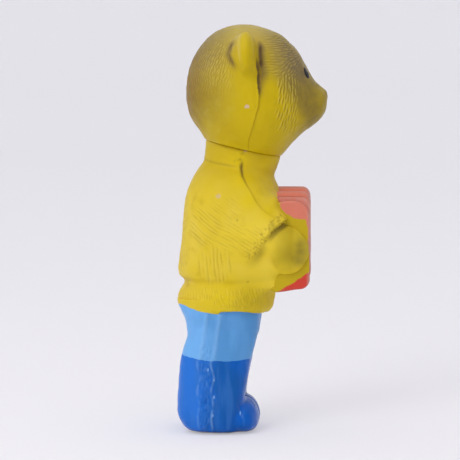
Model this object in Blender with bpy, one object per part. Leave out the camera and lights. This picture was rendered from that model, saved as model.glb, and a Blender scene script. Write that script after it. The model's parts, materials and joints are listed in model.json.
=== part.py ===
"""Vinyl toy bear with a squeezebox: hollow front and back skins, a head that turns in the
collar, and a reed squeaker in the sole. Metres, +Z up. The bear faces -Y and stands on z = 0."""

import math

import bmesh
import bpy
from mathutils import Matrix, Vector

MM = 0.001

# Overall forms
LEG_HEIGHT = 53.4 * MM  # floor to the underside of the sweater's hem
LEG_DEPTH = 35.8 * MM  # heel to toe cap
LEG_HALF_WIDTH = 10.8 * MM  # one leg, middle to side
LEG_SPREAD = 9.0 * MM  # middle of the toy to the middle of a leg
LEG_AXIS = -14.95 * MM  # forward place of the legs' middle
TORSO_HEIGHT = 72.5 * MM  # hem underside to the middle of the neck joint
TORSO_DEPTH = 46.0 * MM
TORSO_WIDTH = 47.2 * MM
TORSO_AXIS = -8.5 * MM  # forward place of the torso's middle
HEAD_LENGTH = 62.15 * MM  # back of the skull to the muzzle tip
HEAD_HEIGHT = 54.0 * MM  # neck joint to the crown
HEAD_WIDTH = 54.0 * MM
HEAD_BACK = 25.1 * MM  # neck joint to the back of the skull
EAR_SIZE = (9.6 * MM, 4.3 * MM, 9.4 * MM)  # half width, half thickness, half height
EAR_PLACE = (25.0 * MM, 3.4 * MM, 40.8 * MM)  # out, forward and up from the neck joint
EAR_CUP = 1.5 * MM  # depth of the hollow in the front of an ear
EAR_CUP_SHARE = 0.62  # how much of the ear the hollow takes

# Walls and clearances
WALL = 1.9 * MM  # torso skin
HEAD_WALL = 1.6 * MM
LEG_WALL = 4.4 * MM  # thick, so that the toy stands steadily
SOLE = 5.0 * MM
GAP = 0.3 * MM  # between neighbouring pieces
WELD = 0.001 * MM  # points closer than this are one point

# The seam where the front and back skins meet leans forward as it rises, and passes just in
# front of the ears
SEAM_FORWARD = -16.9 * MM  # where it crosses the floor
SEAM_TO_EAR = 1.1 * MM

# Neck joint: the collar's lid holds the head's plug by its flange
NECK_FORWARD = -4.2 * MM
NECK_LEAN = math.radians(12.6)
COLLAR_RADIUS = 17.0 * MM
COLLAR_HEIGHT = 9.8 * MM
COLLAR_BASE_RADIUS = 15.6 * MM
COLLAR_BASE_FORWARD = 0.9 * MM  # from the joint's axis
COLLAR_TAPER = 0.5 * MM
COLLAR_LID = 3.0 * MM
PLUG_RADIUS = 10.7 * MM
PLUG_BORE = 8.0 * MM
PLUG_FLANGE_RADIUS = 13.2 * MM
PLUG_FLANGE = 2.0 * MM
HEAD_FLOOR = 2.4 * MM

# Sleeve and hand, for the bear's left side
SHOULDER = (12.6 * MM, -8.5 * MM, 49.0 * MM)  # out, forward, and up from the hem
SHOULDER_RADIUS = 12.4 * MM
CUFF = (18.0 * MM, 10.2 * MM, 33.1 * MM)
CUFF_RADIUS = 11.0 * MM
SLEEVE_FLATNESS = 0.82  # the sleeve's half width as a share of its half height
ARM_HOLLOW_RADIUS = 6.8 * MM
ARM_HOLLOW_FLATNESS = 0.6  # its half width as a share of its half height
PALM_GAP = 0.4 * MM  # between the palm and the squeezebox's end board
WRIST_RADIUS = 8.2 * MM
WRIST_FLATNESS = 0.85  # its half width as a share of its half height
HAND_SIZE = (9.4 * MM, 8.8 * MM, 9.4 * MM)  # thickness over the board, half length, half height
HAND_PLACE = (17.9 * MM, 28.6 * MM)  # knuckles: forward, and up from the hem

# Squeezebox
BOX_HALF_WIDTH = 18.0 * MM
BOX_BACK = 5.0 * MM
BOX_FRONT = 24.8 * MM
BOX_BOTTOM = 11.1 * MM  # above the hem's underside
BOX_TOP = 50.8 * MM  # above the hem's underside, at the ends
BOX_ARCH = 3.4 * MM  # how much higher the middle is than the ends
BOX_TOP_CORNER = 5.6 * MM
BOX_BOTTOM_CORNER = 2.8 * MM
BOX_WALL = 1.3 * MM
BOX_BOARD = 2.6 * MM  # end board
BOX_BOARD_INSET = 0.6 * MM  # how far the boards stay inside the pleats' ridges
PLEATS = 8
PLEAT_DEPTH = 1.1 * MM

# Squeaker
SQUEAKER_FORWARD = -15.5 * MM
SQUEAKER_HOLE = 7.0 * MM
SQUEAKER_ROOM = 2.0 * MM  # over the squeaker
FLANGE_RADIUS = 8.5 * MM
FLANGE = 0.8 * MM
FLANGE_RISE = 0.2 * MM  # keeps the metal off the table
CUP_HEIGHT = 11.8 * MM
CUP_WALL = 0.8 * MM
CUP_LEDGE = 1.1 * MM
CUP_LEDGE_HEIGHT = 5.6 * MM
CUP_BEAD = 0.9 * MM
BLOW_HOLE = 1.6 * MM
PLATE = 1.2 * MM
REED_WIDTH = 2.0 * MM
REED_FREE = 6.0 * MM  # the part that swings over the slot
REED_HELD = 1.8 * MM  # the part under the clamp
REED = 0.3 * MM
CLAMP_WIDTH = 5.0 * MM
CLAMP = 1.0 * MM  # over the reed
CAP = 1.2 * MM
CAP_HOLES = 5
CAP_HOLE_RADIUS = 0.9 * MM
CAP_HOLE_CIRCLE = 3.2 * MM

SHARP_ANGLE = math.radians(35)

# Heights of the joints
HEM = LEG_HEIGHT
NECK = LEG_HEIGHT + TORSO_HEIGHT
BEYOND = 3 * (NECK + HEAD_HEIGHT)  # side of a cutting block that covers the whole toy

# Outlines. Leg: height share of the hem height, then back and front as shares of the leg's
# depth from its middle, then the half width as a share.
LEG_OUTLINE = [
    (0.000, 0.310, 0.446, 0.82),
    (0.017, 0.360, 0.474, 0.89),
    (0.045, 0.412, 0.492, 0.94),
    (0.090, 0.455, 0.500, 0.98),
    (0.145, 0.488, 0.496, 1.00),
    (0.190, 0.500, 0.480, 1.00),
    (0.236, 0.500, 0.450, 0.99),
    (0.282, 0.499, 0.408, 0.97),
    (0.330, 0.496, 0.362, 0.96),
    (0.380, 0.492, 0.350, 0.95),
    (0.470, 0.482, 0.372, 0.94),
    (0.600, 0.462, 0.406, 0.92),
    (0.720, 0.415, 0.448, 0.91),
    (0.818, 0.376, 0.485, 0.91),
    (0.875, 0.390, 0.504, 0.92),
    (0.935, 0.416, 0.527, 0.94),
    (1.000, 0.426, 0.546, 0.95),
    (1.080, 0.430, 0.548, 0.95),
]

# Torso: height share from hem to neck, back and front shares of the depth from the axis, half
# width as a share of the width, and how far the section leans forward in degrees.
TORSO_OUTLINE = [
    (0.000, 0.487, 0.363, 0.452, 0.0),
    (0.030, 0.517, 0.385, 0.468, 0.0),
    (0.066, 0.529, 0.396, 0.475, 0.0),
    (0.114, 0.520, 0.411, 0.470, 0.0),
    (0.152, 0.496, 0.420, 0.458, 0.0),
    (0.188, 0.476, 0.428, 0.449, 0.0),
    (0.218, 0.511, 0.446, 0.462, 0.0),
    (0.248, 0.528, 0.463, 0.475, 0.0),
    (0.310, 0.520, 0.483, 0.483, 0.0),
    (0.432, 0.500, 0.502, 0.492, 0.0),
    (0.583, 0.480, 0.500, 0.498, 0.0),
    (0.668, 0.464, 0.485, 0.490, 0.5),
    (0.740, 0.432, 0.455, 0.465, 2.5),
    (0.800, 0.384, 0.424, 0.425, 6.0),
    (0.835, 0.345, 0.405, 0.385, 9.0),
]

# Head: length share from the back, then top, widest level and bottom as shares of the height
# above the neck joint, and half width as a share of the width.
HEAD_OUTLINE = [
    (0.006, 0.540, 0.450, 0.360, 0.070),
    (0.027, 0.665, 0.450, 0.274, 0.174),
    (0.098, 0.809, 0.450, 0.143, 0.315),
    (0.177, 0.911, 0.440, -0.010, 0.400),
    (0.277, 0.972, 0.430, -0.128, 0.464),
    (0.418, 1.000, 0.420, -0.174, 0.500),
    (0.539, 0.976, 0.400, -0.174, 0.493),
    (0.674, 0.911, 0.380, -0.119, 0.430),
    (0.751, 0.830, 0.370, 0.011, 0.352),
    (0.808, 0.748, 0.370, 0.091, 0.287),
    (0.872, 0.624, 0.360, 0.159, 0.222),
    (0.915, 0.543, 0.360, 0.200, 0.193),
    (0.951, 0.502, 0.365, 0.237, 0.172),
    (0.980, 0.475, 0.380, 0.289, 0.135),
    (0.997, 0.435, 0.390, 0.345, 0.060),
]


def point(out, forward, up):
    """The toy faces -Y, so forward is -Y."""
    return Vector((out, -forward, up))


def add_mesh(name, bm):
    mesh = bpy.data.meshes.new(name)
    bmesh.ops.recalc_face_normals(bm, faces=bm.faces)
    bm.to_mesh(mesh)
    bm.free()
    obj = bpy.data.objects.new(name, mesh)
    bpy.context.scene.collection.objects.link(obj)
    return obj


def add_loft(name, rings, close_ends=True):
    """A closed solid through rings of equal point counts, or a ring-shaped one if its ends join."""
    bm = bmesh.new()
    loops = [[bm.verts.new(co) for co in ring] for ring in rings]
    pairs = list(zip(loops, loops[1:]))
    if not close_ends:
        pairs.append((loops[-1], loops[0]))
    for lower, upper in pairs:
        for i in range(len(lower)):
            j = (i + 1) % len(lower)
            bm.faces.new((lower[i], lower[j], upper[j], upper[i]))
    if close_ends:
        bm.faces.new(list(reversed(loops[0])))
        bm.faces.new(loops[-1])
    return add_mesh(name, bm)


def add_turned(name, profile, segments, frame):
    """Turns a closed profile of (radius, height) points about the frame's Z axis."""
    rings = []
    for i in range(segments):
        angle = 2 * math.pi * i / segments
        spoke = Vector((math.cos(angle), math.sin(angle), 0))
        rings.append([frame @ (spoke * radius + Vector((0, 0, height))) for radius, height in profile])
    return add_loft(name, rings, close_ends=False)


def add_box(name, size, frame):
    bm = bmesh.new()
    bmesh.ops.create_cube(bm, size=1.0, matrix=frame @ Matrix.Diagonal((*size, 1)))
    return add_mesh(name, bm)


def add_cylinder(name, radius, bottom, top, frame, segments=32):
    bm = bmesh.new()
    place = frame @ Matrix.Translation((0, 0, (bottom + top) / 2))
    size = dict(radius1=radius, radius2=radius, depth=top - bottom)
    bmesh.ops.create_cone(bm, cap_ends=True, segments=segments, matrix=place, **size)
    return add_mesh(name, bm)


def add_ellipsoid(name, half_sizes, frame, segments=20, rings=12):
    bm = bmesh.new()
    place = frame @ Matrix.Diagonal((*half_sizes, 1))
    bmesh.ops.create_uvsphere(bm, u_segments=segments, v_segments=rings, radius=1.0, matrix=place)
    return add_mesh(name, bm)


def apply_modifiers(obj):
    """Replaces the object's mesh by what its modifiers make of it, with stray slivers merged."""
    mesh = bpy.data.meshes.new_from_object(obj.evaluated_get(bpy.context.evaluated_depsgraph_get()))
    obj.modifiers.clear()
    bm = bmesh.new()
    bm.from_mesh(mesh)
    bmesh.ops.remove_doubles(bm, verts=bm.verts, dist=WELD)
    bmesh.ops.dissolve_degenerate(bm, edges=bm.edges, dist=WELD)
    bm.to_mesh(mesh)
    bm.free()
    obj.data = mesh


def combine(obj, other, operation):
    """Joins, cuts or intersects obj with other, which is used up."""
    modifier = obj.modifiers.new(operation, "BOOLEAN")
    modifier.operation = operation
    modifier.object = other
    apply_modifiers(obj)
    bpy.data.objects.remove(other)
    return obj


def mirror_left_half(obj):
    """Keeps the toy's left half and mirrors it, so that both halves are alike."""
    modifier = obj.modifiers.new("mirror", "MIRROR")
    modifier.use_axis = (True, False, False)
    modifier.use_bisect_axis = (True, False, False)
    modifier.merge_threshold = WELD
    modifier.bisect_threshold = WELD
    apply_modifiers(obj)
    return obj


def duplicate(name, obj):
    copy = bpy.data.objects.new(name, obj.data.copy())
    bpy.context.scene.collection.objects.link(copy)
    return copy


def oval(center, half_width, front, back, power, count, lean=0.0):
    """A ring round center with its own reach to the front and to the back, leaning forward."""
    middle = (front - back) / 2
    ring = []
    for i in range(count):
        angle = 2 * math.pi * i / count
        c, s = math.cos(angle), math.sin(angle)
        across = math.copysign(abs(c) ** (2 / power), c) * half_width
        along = math.copysign(abs(s) ** (2 / power), s) * (front if s > 0 else back)
        ring.append(center + point(across, along, (middle - along) * math.tan(lean)))
    return ring


def neck_frame():
    """Origin in the middle of the neck joint, Z along the axis that the head turns on."""
    return Matrix.Translation(point(0, NECK_FORWARD, NECK)) @ Matrix.Rotation(NECK_LEAN, 4, "X")


def neck_ring(radius, height, count):
    frame = neck_frame()
    ring = []
    for i in range(count):
        angle = 2 * math.pi * i / count
        ring.append(frame @ point(math.cos(angle) * radius, math.sin(angle) * radius, height))
    return ring


def neck_half(name, height, direction):
    """A block that covers everything above or below a plane across the neck's axis."""
    place = Matrix.Translation((0, 0, height + direction * BEYOND / 2))
    return add_box(name, (BEYOND, BEYOND, BEYOND), neck_frame() @ place)


def torso_form(name, grow, bottom=0.0, count=32):
    """The sweater with its collar, grown outwards, or inwards if grow is negative."""
    rings = []
    for share, back, front, width, lean in TORSO_OUTLINE:
        rings.append(
            oval(
                point(0, TORSO_AXIS, HEM + share * TORSO_HEIGHT),
                width * TORSO_WIDTH + grow,
                front * TORSO_DEPTH + grow,
                back * TORSO_DEPTH + grow,
                2.25,
                count,
                math.radians(lean),
            )
        )
    if bottom:
        floor = [Vector((co.x, co.y, HEM + bottom)) for co in rings[1]]
        rings = [floor] + [ring for ring in rings if ring[0].z > floor[0].z + GAP]
    base = point(0, COLLAR_BASE_FORWARD, 0)
    rings.append([co + base for co in neck_ring(COLLAR_BASE_RADIUS + grow, -COLLAR_HEIGHT, count)])
    rings.append(neck_ring(COLLAR_RADIUS + grow - COLLAR_TAPER, -COLLAR_HEIGHT / 2, count))
    top = GAP if grow >= 0 else -COLLAR_LID
    rings.append(neck_ring(COLLAR_RADIUS + grow, top, count))
    return add_loft(name, rings)


def leg_form(name, wall, bottom, count=24):
    """The left leg with its boot, thinned by wall. The cavity starts at bottom."""
    rings = []
    for share, back, front, width in LEG_OUTLINE:
        height = share * LEG_HEIGHT
        if height < bottom:
            continue
        rings.append(
            oval(
                point(LEG_SPREAD, LEG_AXIS, height),
                width * LEG_HALF_WIDTH - wall,
                front * LEG_DEPTH - wall,
                back * LEG_DEPTH - wall,
                2.4,
                count,
            )
        )
    if bottom:
        rings.insert(0, [Vector((co.x, co.y, bottom)) for co in rings[0]])
    return add_loft(name, rings)


def tube_between(name, start, end, start_radius, end_radius, flatness, count=18):
    """A tapered tube with a rounded start. Its rings are ovals, narrower across the toy."""
    along = (end - start).normalized()
    up = Vector((1, 0, 0)).cross(along).normalized()
    across = along.cross(up).normalized()
    length = (end - start).length
    stations = [(-0.92, 0.38), (-0.70, 0.71), (-0.38, 0.92), (0.0, 1.0)]
    stations = [(share * start_radius, start_radius * size) for share, size in stations]
    stations += [(length / 2, (start_radius + end_radius) / 2), (length, end_radius)]
    rings = []
    for distance, radius in stations:
        center = start + along * distance
        ring = []
        for i in range(count):
            angle = 2 * math.pi * i / count
            offset = up * math.cos(angle) * radius + across * math.sin(angle) * radius * flatness
            ring.append(center + offset)
        rings.append(ring)
    return add_loft(name, rings)


def shoulder_point():
    return point(SHOULDER[0], SHOULDER[1], HEM + SHOULDER[2])


def cuff_point():
    return point(CUFF[0], CUFF[1], HEM + CUFF[2])


def palm_point():
    """The middle of the palm, on the squeezebox's end board."""
    return point(BOX_HALF_WIDTH + PALM_GAP, HAND_PLACE[0], HEM + HAND_PLACE[1])


def sleeve_form(name, grow):
    radii = (SHOULDER_RADIUS + grow, CUFF_RADIUS + grow)
    return tube_between(name, shoulder_point(), cuff_point(), *radii, SLEEVE_FLATNESS)


def hand_form(name, grow):
    """A mitten that lies on the squeezebox's end board: a domed back on a short wrist."""
    palm = palm_point()
    size = [half + grow for half in HAND_SIZE]
    hand = add_ellipsoid(name, size, Matrix.Translation(palm), segments=20, rings=14)
    radii = (WRIST_RADIUS + grow, WRIST_RADIUS + grow)
    wrist = tube_between("wrist", cuff_point(), palm, *radii, WRIST_FLATNESS)
    combine(hand, wrist, "UNION")
    inside = Matrix.Translation((palm.x - BEYOND / 2 - grow, palm.y, palm.z))
    combine(hand, add_box("beyond_palm", (BEYOND, BEYOND, BEYOND), inside), "DIFFERENCE")
    return hand


def sweater_form(name, grow=0.0):
    """The outside of the torso with its left sleeve and hand."""
    body = torso_form(name, grow)
    combine(body, sleeve_form("sleeve", grow), "UNION")
    combine(body, hand_form("hand", grow), "UNION")
    return body


def seam_half(name, forward_side):
    """A block that covers everything on one side of the leaning seam, half a gap away from it."""
    ear_front = NECK_FORWARD + EAR_PLACE[1] + EAR_SIZE[1] + SEAM_TO_EAR
    lean = math.atan2(ear_front - SEAM_FORWARD, NECK + EAR_PLACE[2])
    shift = -1 if forward_side else 1
    frame = Matrix.Translation(point(0, SEAM_FORWARD, 0)) @ Matrix.Rotation(lean, 4, "X")
    frame = frame @ Matrix.Translation((0, shift * (BEYOND / 2 + GAP / 2), 0))
    return add_box(name, (BEYOND, BEYOND, BEYOND), frame)


def split_at_seam(shell, front_name, back_name):
    back = duplicate(back_name, shell)
    combine(back, seam_half("back_side", False), "INTERSECT")
    combine(shell, seam_half("front_side", True), "INTERSECT")
    shell.name = front_name
    return shell, back


def hang_on_pivot(name, frame, objects):
    """Parents the pieces that move together to an empty on their joint's axis."""
    pivot = bpy.data.objects.new(name, None)
    bpy.context.scene.collection.objects.link(pivot)
    pivot.matrix_world = frame
    for obj in objects:
        obj.data.transform(frame.inverted())
        obj.parent = pivot


def squeaker_frame():
    return Matrix.Translation(point(0, SQUEAKER_FORWARD, 0))


def make_body():
    """Sweater, trousers and boots: one hollow form, closed by a lid at the collar."""
    body = sweater_form("body")
    combine(body, leg_form("leg", 0.0, 0.0), "UNION")
    combine(body, torso_form("torso_hollow", -WALL, bottom=WALL, count=24), "DIFFERENCE")
    combine(body, leg_form("leg_hollow", LEG_WALL, SOLE, count=16), "DIFFERENCE")
    end = palm_point() + point(HAND_SIZE[0] / 3, -HAND_SIZE[1] / 3, 0)
    radii = (ARM_HOLLOW_RADIUS, ARM_HOLLOW_RADIUS / 2)
    arm = tube_between("arm_hollow", shoulder_point(), end, *radii, ARM_HOLLOW_FLATNESS, count=12)
    combine(body, arm, "DIFFERENCE")
    hole = add_cylinder("lid_hole", PLUG_RADIUS + GAP, -COLLAR_LID * 3, COLLAR_LID, neck_frame(), 40)
    combine(body, hole, "DIFFERENCE")
    combine(body, neck_half("above_collar", -GAP / 2, 1), "DIFFERENCE")
    place = squeaker_frame()
    recess = FLANGE_RISE + FLANGE + GAP
    combine(body, add_cylinder("recess", FLANGE_RADIUS + GAP, -SOLE, recess, place), "DIFFERENCE")
    combine(body, add_cylinder("hole", SQUEAKER_HOLE, -SOLE, SOLE * 2, place), "DIFFERENCE")
    pocket_top = FLANGE_RISE + CUP_HEIGHT + SQUEAKER_ROOM
    pocket = SQUEAKER_HOLE + CUP_BEAD + GAP
    combine(body, add_cylinder("pocket", pocket, SOLE, pocket_top, place), "DIFFERENCE")
    mirror_left_half(body)
    return split_at_seam(body, "body_front_shell", "body_back_shell")


def head_form(name, wall, count=32):
    """The head without its ears, lofted from the back of the skull to the muzzle."""
    rings = []
    for share, top, middle, bottom, width in HEAD_OUTLINE:
        forward = NECK_FORWARD - HEAD_BACK + wall + share * (HEAD_LENGTH - 2 * wall)
        half = width * HEAD_WIDTH - wall
        upper = (top - middle) * HEAD_HEIGHT - wall
        lower = (middle - bottom) * HEAD_HEIGHT - wall
        if min(half, upper, lower) < wall / 2:
            continue
        center = point(0, forward, NECK + middle * HEAD_HEIGHT)
        ring = []
        for i in range(count):
            angle = 2 * math.pi * i / count
            rise = math.sin(angle)
            lift = rise * (upper if rise > 0 else lower)
            ring.append(center + Vector((math.cos(angle) * half, 0, lift)))
        rings.append(ring)
    return add_loft(name, rings)


def make_head():
    """Head with ears, cut level with the collar, and the plug that holds it in the lid."""
    head = head_form("head", 0.0)
    out, forward, up = EAR_PLACE
    place = Matrix.Translation(point(out, NECK_FORWARD + forward, NECK + up))
    ear = add_ellipsoid("ear", EAR_SIZE, place)
    cup_size = (EAR_SIZE[0] * EAR_CUP_SHARE, EAR_CUP, EAR_SIZE[2] * EAR_CUP_SHARE)
    front = place @ Matrix.Translation(point(0, EAR_SIZE[1], 0))
    combine(ear, add_ellipsoid("ear_cup", cup_size, front, segments=16, rings=8), "DIFFERENCE")
    combine(head, ear, "UNION")
    combine(head, neck_half("below_head", GAP / 2, -1), "DIFFERENCE")
    hollow = head_form("head_hollow", HEAD_WALL, count=24)
    combine(hollow, neck_half("floor_block", HEAD_FLOOR, -1), "DIFFERENCE")
    combine(head, hollow, "DIFFERENCE")
    neck = neck_frame()
    top = -GAP / 2 - COLLAR_LID - GAP
    bottom = top - PLUG_FLANGE
    middle = (top + bottom) / 2
    combine(head, add_cylinder("plug", PLUG_RADIUS, middle, HEAD_FLOOR / 2, neck, 40), "UNION")
    combine(head, add_cylinder("flange", PLUG_FLANGE_RADIUS, bottom, top, neck, 40), "UNION")
    combine(head, add_cylinder("bore", PLUG_BORE, bottom * 2, HEAD_FLOOR * 2, neck, 40), "DIFFERENCE")
    mirror_left_half(head)
    return split_at_seam(head, "head_front_shell", "head_back_shell")


def corner(out, forward, up, radius, start, steps=4):
    """A quarter circle in the toy's side view, from the start angle on."""
    ring = []
    for i in range(steps + 1):
        angle = math.radians(start + 90 * i / steps)
        ring.append(point(out, forward + radius * math.cos(angle), up + radius * math.sin(angle)))
    return ring


def box_ring(out, inset, top_extra, back):
    """The squeezebox's outline across the toy at one place, with rounded front corners."""
    bottom = HEM + BOX_BOTTOM + inset
    top = HEM + BOX_TOP + top_extra - inset
    front = BOX_FRONT - inset
    low, high = BOX_BOTTOM_CORNER, BOX_TOP_CORNER
    ring = [point(out, back, bottom)]
    ring += corner(out, front - low, bottom + low, low, -90)
    ring += corner(out, front - high, top - high, high, 0)
    ring.append(point(out, back, top))
    return ring


def arch_at(out):
    return BOX_ARCH * math.cos(out / BOX_HALF_WIDTH * math.pi / 2)


def make_squeezebox():
    """Pleated bellows between two end boards. Its back is open and is glued on the chest."""
    stations = [(-BOX_HALF_WIDTH, BOX_BOARD_INSET), (BOX_BOARD - BOX_HALF_WIDTH, BOX_BOARD_INSET)]
    steps = PLEATS * 2
    span = 2 * (BOX_HALF_WIDTH - BOX_BOARD)
    for i in range(1, steps):
        inset = 0.0 if i % 2 else PLEAT_DEPTH
        stations.append((BOX_BOARD - BOX_HALF_WIDTH + span * i / steps, inset))
    stations += [(BOX_HALF_WIDTH - BOX_BOARD, BOX_BOARD_INSET), (BOX_HALF_WIDTH, BOX_BOARD_INSET)]
    box = add_loft("squeezebox", [box_ring(out, inset, arch_at(out), BOX_BACK) for out, inset in stations])
    inset = PLEAT_DEPTH + BOX_WALL
    inside = BOX_HALF_WIDTH - BOX_WALL
    places = [inside * step / 3 for step in range(-3, 4)]
    hollow_rings = [box_ring(out, inset, arch_at(out), 0.0) for out in places]
    combine(box, add_loft("box_hollow", hollow_rings), "DIFFERENCE")
    combine(box, sweater_form("sweater_clearance", GAP), "DIFFERENCE")
    mirror_left_half(box)
    return box


def make_squeaker():
    place = squeaker_frame()
    barrel = SQUEAKER_HOLE - GAP
    base = FLANGE_RISE
    top = base + CUP_HEIGHT
    ledge = base + CUP_LEDGE_HEIGHT
    bore = barrel - CUP_WALL
    bead = SOLE + GAP
    cup_profile = [
        (BLOW_HOLE, base),
        (FLANGE_RADIUS, base),
        (FLANGE_RADIUS, base + FLANGE),
        (barrel, base + FLANGE),
        (barrel, bead),
        (barrel + CUP_BEAD, bead),
        (barrel, bead + CUP_BEAD),
        (barrel, top),
        (bore, top),
        (bore, ledge),
        (bore - CUP_LEDGE, ledge),
        (bore - CUP_LEDGE, base + FLANGE),
        (BLOW_HOLE, base + FLANGE),
    ]
    cup = add_turned("squeaker_cup", cup_profile, 32, place)
    plate_bottom = ledge + GAP
    plate_top = plate_bottom + PLATE
    plate = add_cylinder("squeaker_reed_plate", bore - GAP, plate_bottom, plate_top, place)
    slot = (REED_WIDTH + 2 * GAP, REED_FREE + GAP, PLATE * 4)
    slot_place = place @ Matrix.Translation((0, (REED_FREE - slot[1]) / 2, plate_top))
    combine(plate, add_box("slot", slot, slot_place), "DIFFERENCE")
    reed_bottom = plate_top + GAP
    root = REED_FREE / 2
    reed_length = REED_FREE + REED_HELD
    reed_place = place @ Matrix.Translation((0, root + REED_HELD - reed_length / 2, reed_bottom + REED / 2))
    reed = add_box("squeaker_reed", (REED_WIDTH, reed_length, REED), reed_place)
    clamp_height = REED + GAP + CLAMP
    clamp_size = (CLAMP_WIDTH, REED_HELD, clamp_height)
    clamp_place = place @ Matrix.Translation((0, root + REED_HELD / 2, reed_bottom + clamp_height / 2))
    clamp = add_box("squeaker_reed_clamp", clamp_size, clamp_place)
    notch_size = (REED_WIDTH + 2 * GAP, REED_HELD * 2, 2 * (REED + GAP))
    notch_place = place @ Matrix.Translation((0, root + REED_HELD / 2, reed_bottom))
    combine(clamp, add_box("notch", notch_size, notch_place), "DIFFERENCE")
    hinge = point(0, SQUEAKER_FORWARD - root, reed_bottom + REED / 2)
    hang_on_pivot("reed_pivot", Matrix.Translation(hinge), [reed])
    cap = add_cylinder("squeaker_cap", bore - GAP, top - CAP, top, place)
    for i in range(CAP_HOLES):
        turn = Matrix.Rotation(2 * math.pi * i / CAP_HOLES, 4, "Z")
        hole_place = place @ turn @ Matrix.Translation((CAP_HOLE_CIRCLE, 0, 0))
        hole = add_cylinder("cap_hole", CAP_HOLE_RADIUS, top - CAP * 2, top + CAP, hole_place, 12)
        combine(cap, hole, "DIFFERENCE")
    return cup, plate, reed, clamp, cap


def finish(objects, name, color, roughness, metallic=0.0):
    material = bpy.data.materials.new(name)
    material.use_nodes = True
    surface = material.node_tree.nodes["Principled BSDF"]
    surface.inputs["Base Color"].default_value = (*color, 1)
    surface.inputs["Roughness"].default_value = roughness
    surface.inputs["Metallic"].default_value = metallic
    for obj in objects:
        obj.data.materials.clear()
        obj.data.materials.append(material)
        obj.data.shade_smooth()
        obj.data.set_sharp_from_angle(angle=SHARP_ANGLE)


def main():
    for obj in list(bpy.data.objects):
        bpy.data.objects.remove(obj)
    body = make_body()
    head = make_head()
    hang_on_pivot("neck_pivot", neck_frame(), head)
    box = make_squeezebox()
    cup, plate, reed, clamp, cap = make_squeaker()
    finish([*body, *head], "yellow_vinyl", (0.70, 0.52, 0.06), 0.55)
    finish([box], "red_vinyl", (0.60, 0.11, 0.08), 0.45)
    finish([cup, cap], "tin", (0.62, 0.62, 0.60), 0.35, 1.0)
    finish([plate, clamp], "white_plastic", (0.80, 0.80, 0.76), 0.5)
    finish([reed], "brass", (0.72, 0.53, 0.22), 0.3, 1.0)


main()
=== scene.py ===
import json
import math
from itertools import product

import bmesh
import bpy
import numpy as np
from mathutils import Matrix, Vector
from mathutils.kdtree import KDTree

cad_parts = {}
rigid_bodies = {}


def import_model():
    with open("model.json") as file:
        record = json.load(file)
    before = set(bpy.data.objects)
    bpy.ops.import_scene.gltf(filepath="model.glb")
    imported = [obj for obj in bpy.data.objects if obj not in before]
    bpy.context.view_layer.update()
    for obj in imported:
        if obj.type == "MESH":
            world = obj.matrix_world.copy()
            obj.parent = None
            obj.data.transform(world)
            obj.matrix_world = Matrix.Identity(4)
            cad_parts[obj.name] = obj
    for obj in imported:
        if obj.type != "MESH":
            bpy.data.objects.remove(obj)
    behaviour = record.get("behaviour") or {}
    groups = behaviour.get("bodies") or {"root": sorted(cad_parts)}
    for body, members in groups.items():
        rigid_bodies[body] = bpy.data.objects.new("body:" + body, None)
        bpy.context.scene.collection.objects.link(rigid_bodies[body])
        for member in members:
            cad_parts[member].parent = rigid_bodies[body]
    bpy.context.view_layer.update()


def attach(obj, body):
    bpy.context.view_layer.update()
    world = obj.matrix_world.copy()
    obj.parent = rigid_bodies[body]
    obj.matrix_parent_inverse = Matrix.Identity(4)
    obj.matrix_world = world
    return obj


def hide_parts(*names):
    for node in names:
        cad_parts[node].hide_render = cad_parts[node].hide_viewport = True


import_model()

print("frame loaded")

# Sizes are in mm, as out, forward and up, until a mesh is made in metres. The bear faces -Y.


def smoothTable(rows):
    # a smooth curve through the rows, first column against the others
    rows = np.array(rows, float)
    keys, values = rows[:, 0], rows[:, 1:]
    slopes = np.gradient(values, keys, axis=0)
    fine = np.linspace(keys[0], keys[-1], 1500)
    i = np.clip(np.searchsorted(keys, fine) - 1, 0, len(keys) - 2)
    span = (keys[i + 1] - keys[i])[:, None]
    t = (fine - keys[i])[:, None] / span
    return fine, (
        (2 * t**3 - 3 * t**2 + 1) * values[i]
        + (t**3 - 2 * t**2 + t) * span * slopes[i]
        + (3 * t**2 - 2 * t**3) * values[i + 1]
        + (t**3 - t**2) * span * slopes[i + 1]
    )


def look(table, key, column):
    return np.interp(key, table[0], table[1][:, column])


def alongRows(value, rows):  # straight lines through rows of two columns
    rows = np.array(rows)
    return np.interp(value, rows[:, 0], rows[:, 1])


def softMin(a, b, width):  # joins two forms with a fillet
    h = np.clip(0.5 + 0.5 * (b - a) / width, 0, 1)
    return b + (a - b) * h - width * h * (1 - h)


def softMax(a, b, width):  # cuts a form and leaves a rounded edge
    return -softMin(-a, -b, width)


def ease(low, high, value):  # 0 at low, 1 at high
    t = np.clip((value - low) / (high - low), 0, 1)
    return t * t * (3 - 2 * t)


def fade(low, high, value):  # 1 at low, 0 at high
    return 1 - ease(low, high, value)


def window(value, low, full, stillFull, high):
    return ease(low, full, value) * fade(stillFull, high, value)


def bell(value, width):
    return np.exp(-((value / width) ** 2))


def peak(value, width):  # 1 at zero, falling straight to 0 at the width
    return np.clip(1 - np.abs(value) / width, 0, 1)


def asDistance(shape, x, f, z):
    # turns a smooth shape function into about the distance from its surface
    e = 0.04
    g = shape(x, f, z)
    ahead = (shape(x + e, f, z), shape(x, f + e, z), shape(x, f, z + e))
    return g * e / np.maximum(np.sqrt(sum((there - g) ** 2 for there in ahead)), 1e-6)


def scaledAway(place, middle, half):  # 1 on the surface of an ellipsoid
    return np.sqrt(sum(((p - m) / h) ** 2 for p, m, h in zip(place, middle, half)))


def ellipsoid(place, middle, half):
    q = scaledAway(place, middle, half)
    return q * (q - 1) / np.maximum(scaledAway(place, middle, np.square(half)), 1e-6)


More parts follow.
